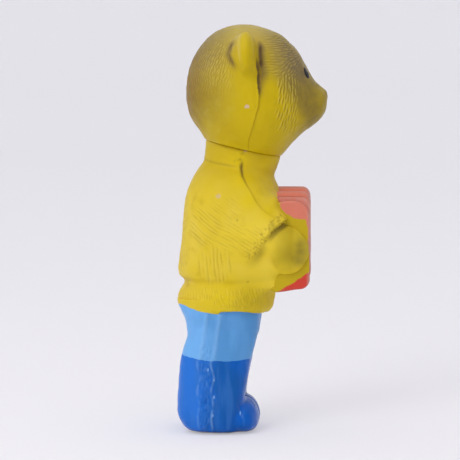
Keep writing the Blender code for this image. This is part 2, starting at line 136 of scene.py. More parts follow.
def tube(place, start, end, startRadius, endRadius, flatness=1.0):
    # tapered, with round ends, and narrower across the toy
    way = np.subtract(end, start)
    length = np.linalg.norm(way)
    away = [p - s for p, s in zip(place, start)]
    t = np.clip(sum(a * w for a, w in zip(away, way / length)) / length, 0, 1)
    dx, df, dz = (a - w * t for a, w in zip(away, way))
    q = np.sqrt((dx / flatness) ** 2 + df**2 + dz**2)
    r = np.sqrt((dx / flatness**2) ** 2 + df**2 + dz**2)
    return (q - startRadius - (endRadius - startRadius) * t) * q / np.maximum(r, 1e-6)


neck = {"forward": -4.2, "up": 125.9, "lean": math.radians(12.6), "gap": 0.06}  # the joint the head turns on


def neckHeight(f, z):
    return (f - neck["forward"]) * math.sin(neck["lean"]) + (z - neck["up"]) * math.cos(neck["lean"])


def neckDisc(x, f, z, radius, low, high):
    across = (f - neck["forward"]) * math.cos(neck["lean"]) - (z - neck["up"]) * math.sin(neck["lean"])
    h = neckHeight(f, z)
    return np.maximum(np.hypot(x, across) - radius, np.maximum(low - h, h - high))


def sampled(distance, low, high, step):
    # the distance on a grid, worked out finely only near the surface
    block = 4  # steps in a coarse cell
    low, high = np.array(low, float), np.array(high, float)
    cells = np.ceil((high - low) / (step * block)).astype(int)
    axes = [low[i] + (np.arange(cells[i]) + 0.5) * step * block for i in range(3)]
    coarse = distance(*[part.ravel() for part in np.meshgrid(*axes, indexing="ij")]).reshape(cells)
    near = np.abs(coarse) < step * block * 1.7
    field = np.sign(coarse) * 9.0
    for axis in range(3):
        field = np.repeat(field, block, axis=axis)
        near = np.repeat(near, block, axis=axis)
    spots = low + np.argwhere(near) * step
    field[near] = distance(*spots.T)
    return field, low


def surfaceNet(field, low, step):
    # one point in every cell that the surface passes through, and a quad round every crossed grid edge
    inside = field < 0
    shape = np.array(field.shape) - 1
    corners = list(product((0, 1), repeat=3))
    count = sum(inside[i:i + shape[0], j:j + shape[1], k:k + shape[2]].astype(np.int8) for i, j, k in corners)
    mixed = (count > 0) & (count < 8)
    cells = np.argwhere(mixed)
    number = np.full(shape, -1)
    number[mixed] = np.arange(len(cells))
    total, hits = np.zeros((len(cells), 3)), np.zeros(len(cells))
    for corner, axis in product(corners, range(3)):
        if corner[axis]:
            continue
        other = list(corner)
        other[axis] = 1
        va = field[tuple((cells + corner).T)]
        vb = field[tuple((cells + other).T)]
        crossed = (va < 0) != (vb < 0)
        spot = np.tile(np.array(corner, float), (crossed.sum(), 1))
        spot[:, axis] += va[crossed] / (va[crossed] - vb[crossed])
        total[crossed] += spot
        hits[crossed] += 1
    quads = []
    for axis in range(3):
        u, v = (axis + 1) % 3, (axis + 2) % 3
        first = [slice(1, size) for size in shape]
        first[axis] = slice(0, shape[axis])
        second = list(first)
        second[axis] = slice(1, shape[axis] + 1)
        a, b = inside[tuple(first)], inside[tuple(second)]
        for way, crossed in ((1, a & ~b), (-1, ~a & b)):
            edges = np.argwhere(crossed) + [0 if i == axis else 1 for i in range(3)]
            ring = []
            for du, dv in ((0, 0), (1, 0), (1, 1), (0, 1)):
                cell = edges.copy()
                cell[:, u] -= du
                cell[:, v] -= dv
                ring.append(number[tuple(cell.T)])
            quads.append(np.stack(ring[::way], axis=1))
    return low + (cells + total / hits[:, None]) * step, np.concatenate(quads)


def slopeOf(distance, points):
    e = 0.06
    shifts = np.eye(3) * e
    slope = np.stack([distance(*(points + s).T) - distance(*(points - s).T) for s in shifts], axis=1)
    return slope / np.maximum(np.linalg.norm(slope, axis=1), 1e-6)[:, None]


def formSurface(distance, low, high, step):
    points, quads = surfaceNet(*sampled(distance, low, high, step), step)
    for _ in range(3):  # draws the points onto the surface
        off = np.clip(distance(*points.T), -step / 2, step / 2)
        points = points - slopeOf(distance, points) * off[:, None] * 0.9
    return points, quads, slopeOf(distance, points)


# Hand work on a surface: strokes, grooves and dents move its points along their normals


def nearPoints(points):
    tree = KDTree(len(points))
    for i, spot in enumerate(points.tolist()):
        tree.insert(spot, i)
    tree.balance()
    return tree


def waves(points, wavelength, seed):  # gentle unevenness, about -1 to 1
    count = 16
    rng = np.random.default_rng(seed)
    total = np.zeros(len(points))
    for _ in range(count):
        way = rng.normal(size=3)
        way *= 2 * math.pi / (np.linalg.norm(way) * wavelength * rng.uniform(0.7, 1.5))
        total += np.sin(points @ way + rng.uniform(0, 2 * math.pi))
    return total / math.sqrt(count * 0.9)


def unevenness(points, rows):  # waves added up, as wavelength, seed and height
    return sum(height * waves(points, wavelength, seed) for wavelength, seed, height in rows)


def alongLine(f, z, line):
    # distance from a line drawn in the side view, the side of it, and the share of its length
    best, side, share = np.full(len(f), 1e9), np.zeros(len(f)), np.zeros(len(f))
    for i, ((f0, z0), (f1, z1)) in enumerate(zip(line, line[1:])):
        df, dz = f1 - f0, z1 - z0
        t = np.clip(((f - f0) * df + (z - z0) * dz) / (df * df + dz * dz), 0, 1)
        offF, offZ = f - f0 - df * t, z - z0 - dz * t
        away = np.hypot(offF, offZ)
        closer = away < best
        best = np.where(closer, away, best)
        side = np.where(closer, np.sign(df * offZ - dz * offF), side)
        share = np.where(closer, (i + t) / (len(line) - 1), share)
    return best, side, share


def fadeEnds(share, part):
    return window(share, 0, part, 1 - part, 1)


def insideOutline(f, z, outline):
    # signed distance, positive inside
    closed = outline + outline[:1]
    inside = np.zeros(len(f), bool)
    for (f0, z0), (f1, z1) in zip(closed, closed[1:]):
        inside ^= ((z0 > z) != (z1 > z)) & (f < (f1 - f0) * (z - z0) / (z1 - z0 + 1e-12) + f0)
    away = alongLine(f, z, closed)[0]
    return np.where(inside, away, -away)


def surfaceAngle(degrees, normals):
    # a direction along the surface: 0 is level and forward, 90 is up
    turn = np.radians(degrees + np.zeros(len(normals)))[:, None]
    facing = np.sign(normals[:, :1])
    level = np.stack([-normals[:, 1], normals[:, 0], np.zeros(len(normals))], axis=1) * facing
    level /= np.maximum(np.linalg.norm(level, axis=1), 1e-6)[:, None]
    up = np.cross(level, normals) * facing
    up *= np.sign(up[:, 2:3] + 1e-9)
    return np.cos(turn) * level + np.sin(turn) * up


def layStrokes(points, normals, weight, ways, length, gap, seed):
    # picks places for strokes, staggered like brickwork, each lying along the surface
    tries = 26000
    rng = np.random.default_rng(seed)
    order = rng.permutation(np.flatnonzero(weight > 0.1))[:tries]
    ways = ways - normals * np.sum(ways * normals, axis=1)[:, None]
    size = np.linalg.norm(ways, axis=1)
    order = order[size[order] > 0.25]
    ways /= np.maximum(size, 1e-6)[:, None]
    sides = np.cross(normals, ways)
    cells, chosen = {}, []
    for i in order.tolist():
        p, t, s = points[i].tolist(), ways[i].tolist(), sides[i].tolist()
        home = tuple(math.floor(c / length) for c in p)
        around = product(*[(h - 1, h, h + 1) for h in home])
        for q in [q for key in around for q in cells.get(key, ())]:
            d = (p[0] - q[0], p[1] - q[1], p[2] - q[2])
            u = (d[0] * t[0] + d[1] * t[1] + d[2] * t[2]) / length
            v = (d[0] * s[0] + d[1] * s[1] + d[2] * s[2]) / gap
            if u * u + v * v < 1:
                break
        else:
            cells.setdefault(home, []).append(p)
            chosen.append(i)
    return points[chosen], ways[chosen], sides[chosen], weight[chosen], rng.uniform(0.75, 1.15, len(chosen))


def carveStrokes(points, tree, strokes, length, width, depth):
    offset = np.zeros(len(points))
    for place, way, side, weight, scale in zip(*strokes):
        reach = length * scale / 2
        near = np.array([found[1] for found in tree.find_range(place.tolist(), reach + width)], int)
        away = points[near] - place
        u, v = away @ way / reach, away @ side / width
        taper = np.clip(1 - u**2, 0, 1)
        groove = np.clip(1 - v**2, 0, 1) ** 2
        cut = depth * weight * taper * (0.5 * bell(np.abs(v) - 1.3, 0.5) - groove)
        offset[near] = np.where(np.abs(cut) > np.abs(offset[near]), cut, offset[near])
    return offset


def dent(points, tree, places, radius, depth, seed):
    # small round hollows, or lumps where the depth is negative
    rng = np.random.default_rng(seed)
    hollow = np.zeros(len(points))
    for place in places.tolist():
        size = radius * rng.uniform(0.6, 1.25)
        for _, i, away in tree.find_range(place, size):
            hollow[i] = max(hollow[i], 1 - (away / size) ** 2)
    return -hollow * depth


def blots(f, z, rows):
    # soft round patches in the side view, as forward, up, radius and strength
    total = np.zeros(len(f))
    for forward, up, radius, strength in rows:
        total = np.maximum(total, strength * bell(np.hypot(f - forward, z - up), radius))
    return total


def chipped(points, rows, unevenness):
    # where the paint has chipped off on the bear's right, as forward, up and radius
    x, f, z = points.T
    total = np.zeros(len(f))
    for forward, up, radius in rows:
        away = np.hypot(f - forward, z - up) + unevenness
        total = np.maximum(total, ease(radius + 0.25, radius - 0.1, away) * (x < -9))
    return total


def addValues(mesh, name, values):
    mesh.attributes.new(name, "FLOAT", "POINT").data.foreach_set("value", np.asarray(values, np.float32))


def takeValues(mesh, name):  # reads an attribute and removes it
    values = np.empty(len(mesh.vertices), np.float32)
    mesh.attributes[name].data.foreach_get("value", values)
    mesh.attributes.remove(mesh.attributes[name])
    return values


def meshFrom(name, points, quads, attributes):
    mesh = bpy.data.meshes.new(name)
    mesh.vertices.add(len(points))
    places = points * [1, -1, 1] / 1000
    mesh.vertices.foreach_set("co", places.astype(np.float32).ravel())
    mesh.loops.add(quads.size)
    mesh.loops.foreach_set("vertex_index", quads[:, ::-1].astype(np.int32).ravel())
    mesh.polygons.add(len(quads))
    mesh.polygons.foreach_set("loop_start", np.arange(0, quads.size, 4, dtype=np.int32))
    mesh.update(calc_edges=True)
    for key, values in attributes.items():
        addValues(mesh, key, values)
    mesh.shade_smooth()
    return mesh


def addPiece(name, mesh, body, material, replaced):
    mesh.name = name
    piece = bpy.data.objects.new(name, mesh)
    bpy.context.scene.collection.objects.link(piece)
    mesh.materials.clear()
    mesh.materials.append(material)
    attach(piece, body)
    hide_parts(*replaced)
    return piece


def halfOf(whole, frontSide, seam):
    # one side of the skin, cut along the moulding seam and closed there
    bm = bmesh.new()
    bm.from_mesh(whole)
    for vert in bm.verts:
        vert.co.y += seam(vert.co.z * 1000) / 1000
    cut = bmesh.ops.bisect_plane(
        bm, geom=bm.verts[:] + bm.edges[:] + bm.faces[:], dist=1e-7, plane_co=(0, 0, 0), plane_no=(0, 1, 0),
        clear_outer=frontSide, clear_inner=not frontSide,
    )
    edges = [part for part in cut["geom_cut"] if isinstance(part, bmesh.types.BMEdge)]
    for edge in edges:
        edge.smooth = False
    caps = bmesh.ops.triangle_fill(bm, edges=edges, use_beauty=True, use_dissolve=False)
    for part in caps["geom"]:
        if isinstance(part, bmesh.types.BMFace):
            part.smooth = False
            part.normal_update()
            if (part.normal.y > 0) != frontSide:
                part.normal_flip()
    for vert in bm.verts:
        vert.co.y -= seam(vert.co.z * 1000) / 1000
    mesh = bpy.data.meshes.new("half")
    bm.to_mesh(mesh)
    bm.free()
    return mesh


wayNames = ("wayX", "wayY", "wayZ")


def liftWays(normals, share):  # directions for liftSeam, zero where the share is
    return dict(zip(wayNames, (normals * share[:, None] * [1, -1, 1]).T))


def liftSeam(mesh, seam, rise, fadeLength, frontSide):
    # raises the back skin, or lowers the front one, next to the seam
    places = np.empty(len(mesh.vertices) * 3, np.float32)
    mesh.vertices.foreach_get("co", places)
    places = places.reshape(-1, 3).astype(float) * 1000
    way = np.column_stack([takeValues(mesh, key) for key in wayNames])
    beyond = np.abs(-places[:, 1] - seam(places[:, 2]))
    amount = np.exp(-beyond / fadeLength) * alongRows(places[:, 2], rise) * ease(8, 16, np.abs(places[:, 0]))
    places += way * (amount * (-0.4 if frontSide else 0.6))[:, None]
    mesh.vertices.foreach_set("co", (places / 1000).astype(np.float32).ravel())
    mesh.update()


# Head

headForm = {
    # forward, top, widest level, bottom, half width
    "stations": [
        (-29.30, 150.2, 150.2, 150.2, 0.0),
        (-28.93, 155.1, 150.2, 145.3, 4.4),
        (-27.62, 161.6, 150.2, 140.3, 9.6),
        (-23.21, 169.8, 150.2, 133.0, 17.0),
        (-18.30, 175.1, 149.7, 125.4, 21.6),
        (-12.08, 178.5, 149.1, 119.0, 25.1),
        (-3.32, 179.9, 148.6, 116.5, 27.0),
        (4.20, 178.7, 147.5, 117.0, 26.6),
        (12.59, 175.1, 146.4, 122.0, 23.2),
        (17.37, 170.9, 145.9, 127.8, 19.4),
        (20.92, 166.4, 145.9, 131.2, 16.0),
        (23.20, 162.4, 145.6, 133.2, 13.9),
        (24.90, 159.0, 145.4, 134.2, 12.4),
        (27.00, 155.6, 145.3, 135.8, 10.9),
        (29.30, 153.3, 145.6, 137.7, 9.5),
        (31.20, 151.7, 146.2, 140.1, 7.8),
        (32.30, 150.4, 146.8, 142.6, 5.2),
        (32.85, 147.6, 147.2, 146.8, 0.0),
    ],
    "ear": ((25.0, -1.5, 167.4), (9.5, 4.4, 9.3)),  # middle and half sizes
    "earTilt": math.radians(3.0),
    "earRoot": ((21.0, -4.6, 165.2), (6.6, 5.6, 9.6)),  # the swelling behind it
    "earSlope": 0.12,  # how far the front of the ear leans back, per mm outwards
    "earCup": 1.2,
    # from the ear down the cheek: start, end, radii
    "flap": ((23.3, -0.9, 163.0), (26.4, 1.4, 145.0), 3.6, 0.7),
    # in the collar: radius, and from where to where along the neck's axis
    "plug": (10.7, -5.0, 1.0),
    "flange": (13.2, -5.4, -3.45),
    # the moulding seam: height, forward
    "seam": [(118, -1.3), (126.0, -1.2), (130.3, -0.9), (136.8, 1.2), (145.4, 3.4), (149.7, 3.8),
             (156.1, 2.9), (166.8, 2.5), (174.1, 2.9), (184, 3.2)],
    # how far the back skin stands over the front one: height, rise
    "seamRise": [(124, 0.2), (130, 0.35), (138, 0.6), (146, 0.95), (156, 1.1), (160, 0.8), (162, 0.0)],
    "seamFade": 2.2,
    # strokes of the fur: gap along and across, seed, then their length, width and depth
    "strokes": {
        "back": (2.4, 1.2, 11, 3.0, 0.5, 0.27),
        "forehead": (3.6, 1.15, 12, 4.4, 0.48, 0.19),
        "cheek": (4.0, 1.3, 13, 5.0, 0.6, 0.34),
        "crown": (3.0, 1.4, 14, 3.4, 0.5, 0.12),
    },
    # heights and depths of the marks
    "relief": {"behindEar": 0.5, "earCrease": 0.6, "crack": 0.3, "eye": 0.35, "nose": 0.15, "chip": 0.1},
    "uneven": [(13, 21, 0.12), (4, 22, 0.05)],  # wavelength, seed, height
    "step": 0.31,
    "room": ((-36, -31, 112), (36, 36, 182)),  # opposite corners of the space it is worked out in
}

headPaint = {
    "eye": ((6.8, 23.7, 158.9), 2.0, 2.45),  # middle, half width, half height
    "eyeFacing": (0.42, 0.86, 0.29),
    "nose": ((0.0, 32.2, 149.2), (4.2, 2.4, 2.4)),
    # lower edge of the airbrushed brown on the face: height, forward
    "mask": [(125, 14.5), (130.3, 17.1), (134.7, 20.8), (139.0, 21.8), (147.5, 17.6), (154.0, 12.8),
             (158.2, 9.3), (164.7, 7.6), (174.9, 5.1), (182, 3.0)],
    "crescent": [(-6.0, 174.0), (-8.7, 170.8), (-9.6, 167.1), (-8.2, 164.0), (-5.4, 158.9)],
    "earCrease": [(2.8, 176.0), (3.6, 173.5), (4.1, 170.7), (4.1, 167.1), (4.4, 163.5), (5.2, 159.4)],
    "chips": [(-1.4, 144.9, 0.95)],
}

# Radii go through the table squared, so that both ends come out round
headEnds = headForm["stations"][0][0], headForm["stations"][-1][0]
headTable = smoothTable([
    (forward, level, (top - level) ** 2, (level - bottom) ** 2, wide**2)
    for forward, top, level, bottom, wide in headForm["stations"]
])


def skullShape(x, f, z):
    rise = z - look(headTable, f, 0)
    beyond = np.maximum(np.maximum(headEnds[0] - f, f - headEnds[1]), 0)
    upper, lower, wide = (np.maximum(look(headTable, f, i), 0.02) for i in (1, 2, 3))
    q = np.sqrt(x**2 / wide + rise**2 / np.where(rise > 0, upper, lower))
    size = np.sqrt(np.minimum(wide, np.minimum(upper, lower)))
    return np.where(beyond > 0, beyond * 3 + q * 0.1, (q - 1) * size)


def earPlace(x, f, z):
    # the ear's own directions: out, forward and up, tilted a little
    (out, forward, up), _ = headForm["ear"]
    s, c = math.sin(headForm["earTilt"]), math.cos(headForm["earTilt"])
    return np.abs(x) - out, (f - forward) * c + (z - up) * s, (z - up) * c - (f - forward) * s


def earAway(x, f, z, thicker=0.0):
    wide, deep, high = headForm["ear"][1]
    return scaledAway(earPlace(x, f, z), (0, 0, 0), (wide, deep + thicker, high))


def headSeam(z):
    return alongRows(z, headForm["seam"])


def headDistance(x, f, z):
    side, place = np.abs(x), earPlace(x, f, z)
    wide, deep, high = headForm["ear"][1]
    cup = ellipsoid(place, (0.8, deep + 0.2, -0.3), (wide * 0.66, headForm["earCup"] + 0.2, high * 0.7))
    ear = softMax(ellipsoid(place, (0, 0, 0), (wide, deep, high)), -cup, 1.0)
    lobe = softMin(ear, tube((side, f, z), *headForm["flap"]), 4.0)
    lobe = softMin(lobe, ellipsoid((side, f, z), *headForm["earRoot"]), 4.0)
    lobe = softMax(lobe, f - headSeam(z) + 0.15 + (side - 27) * headForm["earSlope"], 0.35)
    skull = np.clip(asDistance(skullShape, x, f, z), -8, 8)
    skull = softMin(skull, lobe, 0.9 + 2.6 * ease(1.0, -5.0, f))
    skull = softMax(skull, neck["gap"] - neckHeight(f, z), 0.4)
    skull = np.minimum(skull, neckDisc(x, f, z, *headForm["plug"]))
    return np.minimum(skull, neckDisc(x, f, z, *headForm["flange"]))


def furZones(x, f, z):
    # weight and direction of the engraved fur: near upright behind, in rows on the forehead,
    # long and deep on the cheeks, and faint across the crown
    side = np.abs(x)
    offEar = ease(1.0, 1.25, earAway(x, f, z, 1.5))
    bright = bell(np.hypot(f + 14, z - 163), 9)
    back = fade(-9, -4, f) * ease(128.5, 133, z) * (1 - 0.65 * ease(171, 178, z))
    back *= (0.25 + 0.75 * ease(140, 154, z)) * (0.4 + 0.6 * bright)
    forehead = window(f, 5.5, 7.5, 19, 22) * window(z, 155, 159, 174, 177)
    cheek = window(f, 10.8, 12.5, 18.5, 21) * window(z, 131, 137, 156, 159) * ease(6, 10, side)
    crown = 0.5 * ease(168, 172, z) * fade(10, 16, side)
    return {
        "back": (back * offEar, 80),
        "forehead": (forehead * offEar, 35 * ease(9, 15, f) * fade(160, 168, z)),
        "cheek": (cheek, 72 + 16 * ease(11, 18, f)),
        "crown": (crown * offEar, 8),
    }


def earMarks(x, f, z):
    # creases behind and in front of the ear and the crack along its edge, darkened as painted shade (behind
    # the ear partly brown paint too), and the painted shade in front of the ear
    side = np.abs(x)
    away, _, share = alongLine(f, z, headPaint["crescent"])
    behind = bell(away, 1.15) * fadeEnds(share, 0.25) * ease(15, 19, side)
    away, _, share = alongLine(f, z, headPaint["earCrease"])
    front = bell(away, 0.95) * fadeEnds(share, 0.2) * ease(15, 19, side)
    # the crack: a painted shadow of the seam step, a dark band just in front of it
    ahead = f - headSeam(z)
    crack = bell(np.maximum(ahead, 0), 1.8 + 1.6 * bell(z - 157, 4)) * (ahead > -0.2)
    crack *= window(z, 147, 153, 163, 167) * (side > 18)
    # painted shade in front of the ear's crease, fading forwards
    past = f - alongRows(z, np.array(headPaint["earCrease"])[::-1, ::-1])
    earShade = bell(np.maximum(past, 0), 3.4) * (past > -0.3) * window(z, 154, 160, 173, 177) * ease(14, 18, side)
    return behind, front, crack, earShade


def eyeAndNose(x, f, z):
    # how far inside the painted eye and nose each point lies, 1 in the middle and 0 at the edge
    middle, wide, high = headPaint["eye"]
    away = np.column_stack([np.abs(x), f, z]) - middle
    facing = headPaint["eyeFacing"] / np.linalg.norm(headPaint["eyeFacing"])
    sideways = np.cross([0, 0.32, 0.95], facing)
    eye = 1 - np.hypot(away @ sideways / wide, away @ np.cross(facing, sideways) / high)
    return np.where(np.abs(away @ facing) < 4, eye, -1), 1 - scaledAway((x, f, z), *headPaint["nose"])


def headAirbrush(x, f, z, onEar, earShade):
    # brown on the face, the crown and the back of the head, and the richer yellow between them
    high = ease(151, 160, z)
    beyond = f - alongRows(z, headPaint["mask"])
    face = ease(0, 1, (beyond + 3.5 + 2.5 * high) / (8.5 + 9.5 * high)) * (0.72 + 0.18 * high)
    face *= (1 - 0.3 * ease(27, 31, f)) * (1 - 0.45 * ease(139, 126, z))
    face *= 1 - 0.3 * fade(3, 12, np.abs(x)) * high
    # the painted shade in front of the ear is laid on with the face's brown
    face = np.maximum(np.minimum(face * 1.13, 1), 0.62 * earShade)
    crown = ease(166, 177, z) * 0.13 * (1 - onEar)
    skull = fade(-27, -1, f) * ease(126, 150, z) * 0.72 + fade(-14, -5, f) * ease(158, 168, z) * 0.2
    frontOfEar = earPlace(x, f, z)[1] < headForm["ear"][1][1] * 0.6
    brown = np.maximum(face, np.maximum(crown, skull)) * (1 - 0.9 * onEar * frontOfEar)
    rich = np.maximum(ease(-16, -2, f) * (1 - face) * 0.85, ease(142, 128, z) * 0.8 * ease(-26, -12, f))
    rich *= 1 - ease(166, 175, z) * (1 - onEar)
    return np.clip(brown, 0, 1), rich


def makeHead():
    points, quads, normals = formSurface(headDistance, *headForm["room"], headForm["step"])
    print("head surface", len(points), "points")
    x, f, z = points.T
    tree = nearPoints(points)
    carve = np.zeros(len(points))
    for zone, (weight, tilt) in furZones(x, f, z).items():
        along, across, seed, *stroke = headForm["strokes"][zone]
        places = layStrokes(points, normals, weight, surfaceAngle(tilt, normals), along, across, seed)
        carve += carveStrokes(points, tree, places, *stroke)
    behind, front, crack, earShade = earMarks(x, f, z)
    eye, nose = eyeAndNose(x, f, z)
    spots = chipped(points, headPaint["chips"], 0.25 * waves(points, 1.6, 23))
    inJoint = ease(0.15, 1.2, neckHeight(f, z))  # fades the relief out towards the neck joint
    relief = headForm["relief"]
    offset = carve - relief["behindEar"] * behind - relief["earCrease"] * front - relief["crack"] * crack
    offset += unevenness(points, headForm["uneven"])
    # thick paint stands up a little
    offset += relief["eye"] * ease(0, 0.5, eye) + relief["nose"] * ease(0, 0.5, nose)
    offset = offset * inJoint - relief["chip"] * spots
    onEar = fade(0.98, 1.12, earAway(x, f, z))
    brown, rich = headAirbrush(x, f, z, onEar, earShade)
    _, earForward, earUp = earPlace(x, f, z)
    return meshFrom("head", points + normals * (offset * (neckHeight(f, z) > 0))[:, None], quads, {
        "brown": brown, "rich": rich, "spot": spots, "eye": eye, "nose": nose,
        "rim": fade(-29, -18, f) * ease(128, 138, z) * (1 - 0.5 * ease(160, 172, z)),
        # a painted highlight along the ear's back edge, laid into the carve values so that it pales with the
        # ridges
        "carve": carve + 0.1 * onEar * bell(earForward + 3.0, 0.9) * ease(-6, 0, earUp),
        # painted shade in the creases round the ear and at the seam step
        "crease": np.maximum(np.maximum(0.85 * behind, front), crack),
        **liftWays(normals, inJoint),
    })


# Sweater, trousers and boots, with the arms

bodyForm = {
    # height, forward place of the middle, reach to the back and to the front, half width, lean, squareness
    "sweater": smoothTable([
        (52.0, -8.5, 22.2, 16.4, 21.0, 0.0, 2.25),
        (53.4, -8.5, 22.6, 16.8, 21.3, 0.0, 2.25),
        (55.6, -8.5, 23.8, 17.8, 22.1, 0.0, 2.25),
        (58.2, -8.5, 24.5, 18.3, 22.5, 0.0, 2.25),
        (61.7, -8.5, 24.1, 18.8, 22.2, 0.0, 2.25),
        (64.2, -8.5, 22.6, 19.1, 21.5, 0.0, 2.25),
        (66.2, -8.5, 21.7, 19.4, 21.0, 0.0, 2.25),
        (67.6, -8.5, 22.0, 19.9, 21.2, 0.0, 2.25),
        (69.2, -8.5, 23.8, 20.6, 22.0, 0.0, 2.25),
        (71.4, -8.5, 24.5, 21.3, 22.5, 0.0, 2.25),
        (75.9, -8.5, 24.0, 22.2, 22.8, 0.0, 2.25),
        (84.7, -8.5, 23.0, 23.1, 23.2, 0.0, 2.25),
        (95.7, -8.5, 22.1, 23.0, 23.5, 0.0, 2.25),
        (101.8, -8.0, 21.9, 21.8, 23.1, 0.5, 2.25),
        (107.1, -7.3, 21.1, 19.7, 21.9, 2.5, 2.2),
        (111.4, -6.6, 19.6, 17.6, 20.1, 6.0, 2.15),
        (113.9, -6.0, 18.2, 16.1, 18.2, 9.0, 2.1),
        (116.5, -5.5, 16.1, 15.2, 16.4, 12.0, 2.0),
        (121.1, -5.0, 15.8, 15.9, 16.3, 12.6, 2.0),
        (126.5, -4.1, 16.3, 16.7, 16.8, 12.6, 2.0),
    ]),
    # height, reach to the back, to the front, half width
    "leg": smoothTable([
        (0.0, 10.6, 9.6, 5.6),
        (0.9, 12.5, 10.6, 8.0),
        (2.4, 14.5, 11.3, 9.4),
        (4.8, 16.2, 11.6, 10.3),
        (7.7, 17.4, 11.8, 10.7),
        (12.6, 17.9, 11.9, 10.8),
        (17.6, 17.8, 12.2, 10.6),
        (20.3, 17.6, 12.6, 10.4),
        (25.1, 17.3, 13.5, 10.2),
        (32.0, 16.5, 14.8, 9.9),
        (38.4, 14.9, 16.2, 9.8),
        (43.7, 13.5, 17.5, 9.8),
        (46.7, 14.0, 18.0, 10.0),
        (49.9, 14.5, 18.6, 10.6),
        (51.6, 15.1, 18.7, 11.0),
        (53.2, 15.8, 18.8, 11.3),
        (55.0, 16.5, 18.9, 11.5),
        (57.0, 17.2, 18.9, 11.7),
        (60.0, 17.6, 18.9, 11.8),
    ]),
    "legForward": -14.95,
    "legOut": 9.0,
    "legSquareness": 2.4,
    "toe": ((3.5, -4.2, 5.6), (14.5, 7.5, 9.4)),  # middle and half sizes
    "toeLift": 1.4,  # rounder below by this much
    "soleEdge": 1.7,
    "toeFillet": 1.2,
    # the hem's lower edge: forward, height
    "hem": [(-34.0, 56.7), (-30.9, 57.3), (-26.4, 56.2), (-21.6, 54.9), (-17.6, 54.3), (-14.2, 54.0),
            (-12.4, 55.1), (-6.7, 55.2), (-1.5, 54.8), (3.0, 54.0), (5.6, 53.6), (7.7, 53.9), (14.0, 54.6)],
    "hemEdge": 0.9,  # how rounded it is
    # upper edge of the boots' paint
    "boot": [(-34, 35.4), (-29.2, 34.8), (-22.2, 33.5), (-15.6, 33.1), (0.6, 33.2), (6, 33.4)],
    "shoulder": (12.6, -8.5, 103.2),
    # where the shoulder lies over the chest: forward, up
    "shoulderEdge": [(-4.0, 121.5), (-4.3, 117.5), (-3.6, 114.4), (-2.0, 111.2), (0.2, 107.6), (1.9, 104.2),
                     (4.1, 101.3), (6.9, 99.0), (10.2, 96.9), (13.9, 94.9)],
    "shoulderRadius": 12.4,
    "cuff": (18.3, 9.4, 88.1),
    "cuffRadius": 9.9,
    "sleeveFlatness": 0.82,
    "palm": (17.9, 15.6, 81.9),
    "hand": (8.2, 8.4, 9.4),
    "handRim": (2.2, 8.9, 10.1),
    "wristRadius": 7.2,
    # flat front behind the squeezebox: middle, half sizes, corner
    "chest": ((0, 3.0, 84.6), (18.05, 8.8, 20.7), 2.2),
    "pocket": (-15.5, 8.9, 16.0),  # for the squeaker: forward, radius, height
    # for the head's plug and flange: radius, and from where to where along the neck's axis
    "collarHole": (11.0, -3.4, 3.0),
    "collarRoom": (13.8, -6.6, -3.15),
    "seam": (-16.9, 0.129),  # forward at the floor, and more per mm of height
    # the back skin stands a little over the front one down the legs and at the neck: height, rise
    "seamRise": [(0, 0.0), (4, 0.12), (30, 0.12), (50, 0.05), (60, 0.0), (112, 0.0), (118, 0.2), (125, 0.1)],
    "seamFade": 1.2,
    "step": 0.4,
    "room": ((-34, -36, -1.5), (34, 32, 132)),  # opposite corners of the space it is worked out in
}


# Heights and depths of the marks; unevenness as wavelength, seed and height
bodyRelief = {
    "uneven": [(15, 59, 0.14), (4.5, 60, 0.05)],
    # ribbed lines on the sides of the sweater: forward, up, half sizes, direction, gap, depth, seed
    "ribs": [
        (-19.6, 92.4, 9.5, 11.5, (0.80, -0.60), 1.45, 0.2, 31),
        (-9.0, 88.0, 10.5, 8.5, (0.87, -0.49), 1.45, 0.15, 32),
        (1.0, 86.5, 8.0, 8.5, (0.85, -0.53), 1.45, 0.16, 33),
        (-9.5, 100.5, 9.0, 6.5, (0.80, -0.60), 1.45, 0.12, 34),
        (-15.6, 75.4, 9.5, 10.5, (0.10, -1.0), 1.75, 0.22, 35),
    ],
    # combed lines elsewhere: middle, half sizes, direction, length, gap, depth, seed
    "knit": [
        ((8, -31.0, 95.0), (10, 6, 12), (-0.72, 0, -0.69), 5.4, 1.2, 0.16, 36),
        ((9, -31.0, 78.0), (12, 6, 8), (-0.15, 0, -0.98), 4.8, 1.1, 0.15, 37),
        ((8, 12.0, 108.0), (9, 6, 5), (0.6, 0.3, -0.75), 3.6, 1.2, 0.14, 38),
    ],
    # down the trousers and boots: forward and up of their points, height, how much paler behind (painted
    # light on the fold's lit side)
    "legFolds": [
        ([(-18.9, 54), (-22.4, 33), (-22.7, 0)], 0.42, 0.4),
        ([(-13.2, 54), (-16.4, 33), (-16.7, 0)], 0.34, 0.3),
    ],
    "heelBand": 0.12,
    "heelUneven": [(2.0, 55, 0.16), (1.1, 56, 0.12)],
    "legRidges": [(-22.7, 0.3), (-16.7, 0.5)],  # forward, height
    "betweenToes": 0.8,
    "toeCrease": 0.3,
    "glint": 0.3,
    "lump": 0.28,  # the flash at the neck
    "lumpUneven": [(2.2, 57, 0.12), (1.1, 58, 0.1)],
    "sleeveEdge": 0.42,
    "underSleeve": 0.5,
    "slit": 0.4,
    "collarEdge": 0.32,
    "cuffEdge": 0.3,
    "cuffCrease": 0.3,
    "cuffPits": [(230, 0.5, 0.36, 52), (45, 0.95, 0.5, 65)],  # how many, radius, depth, seed
    "cuffLumps": (120, 0.6, -0.25, 53),
    "chip": 0.1,
    "pit": 0.3,
}

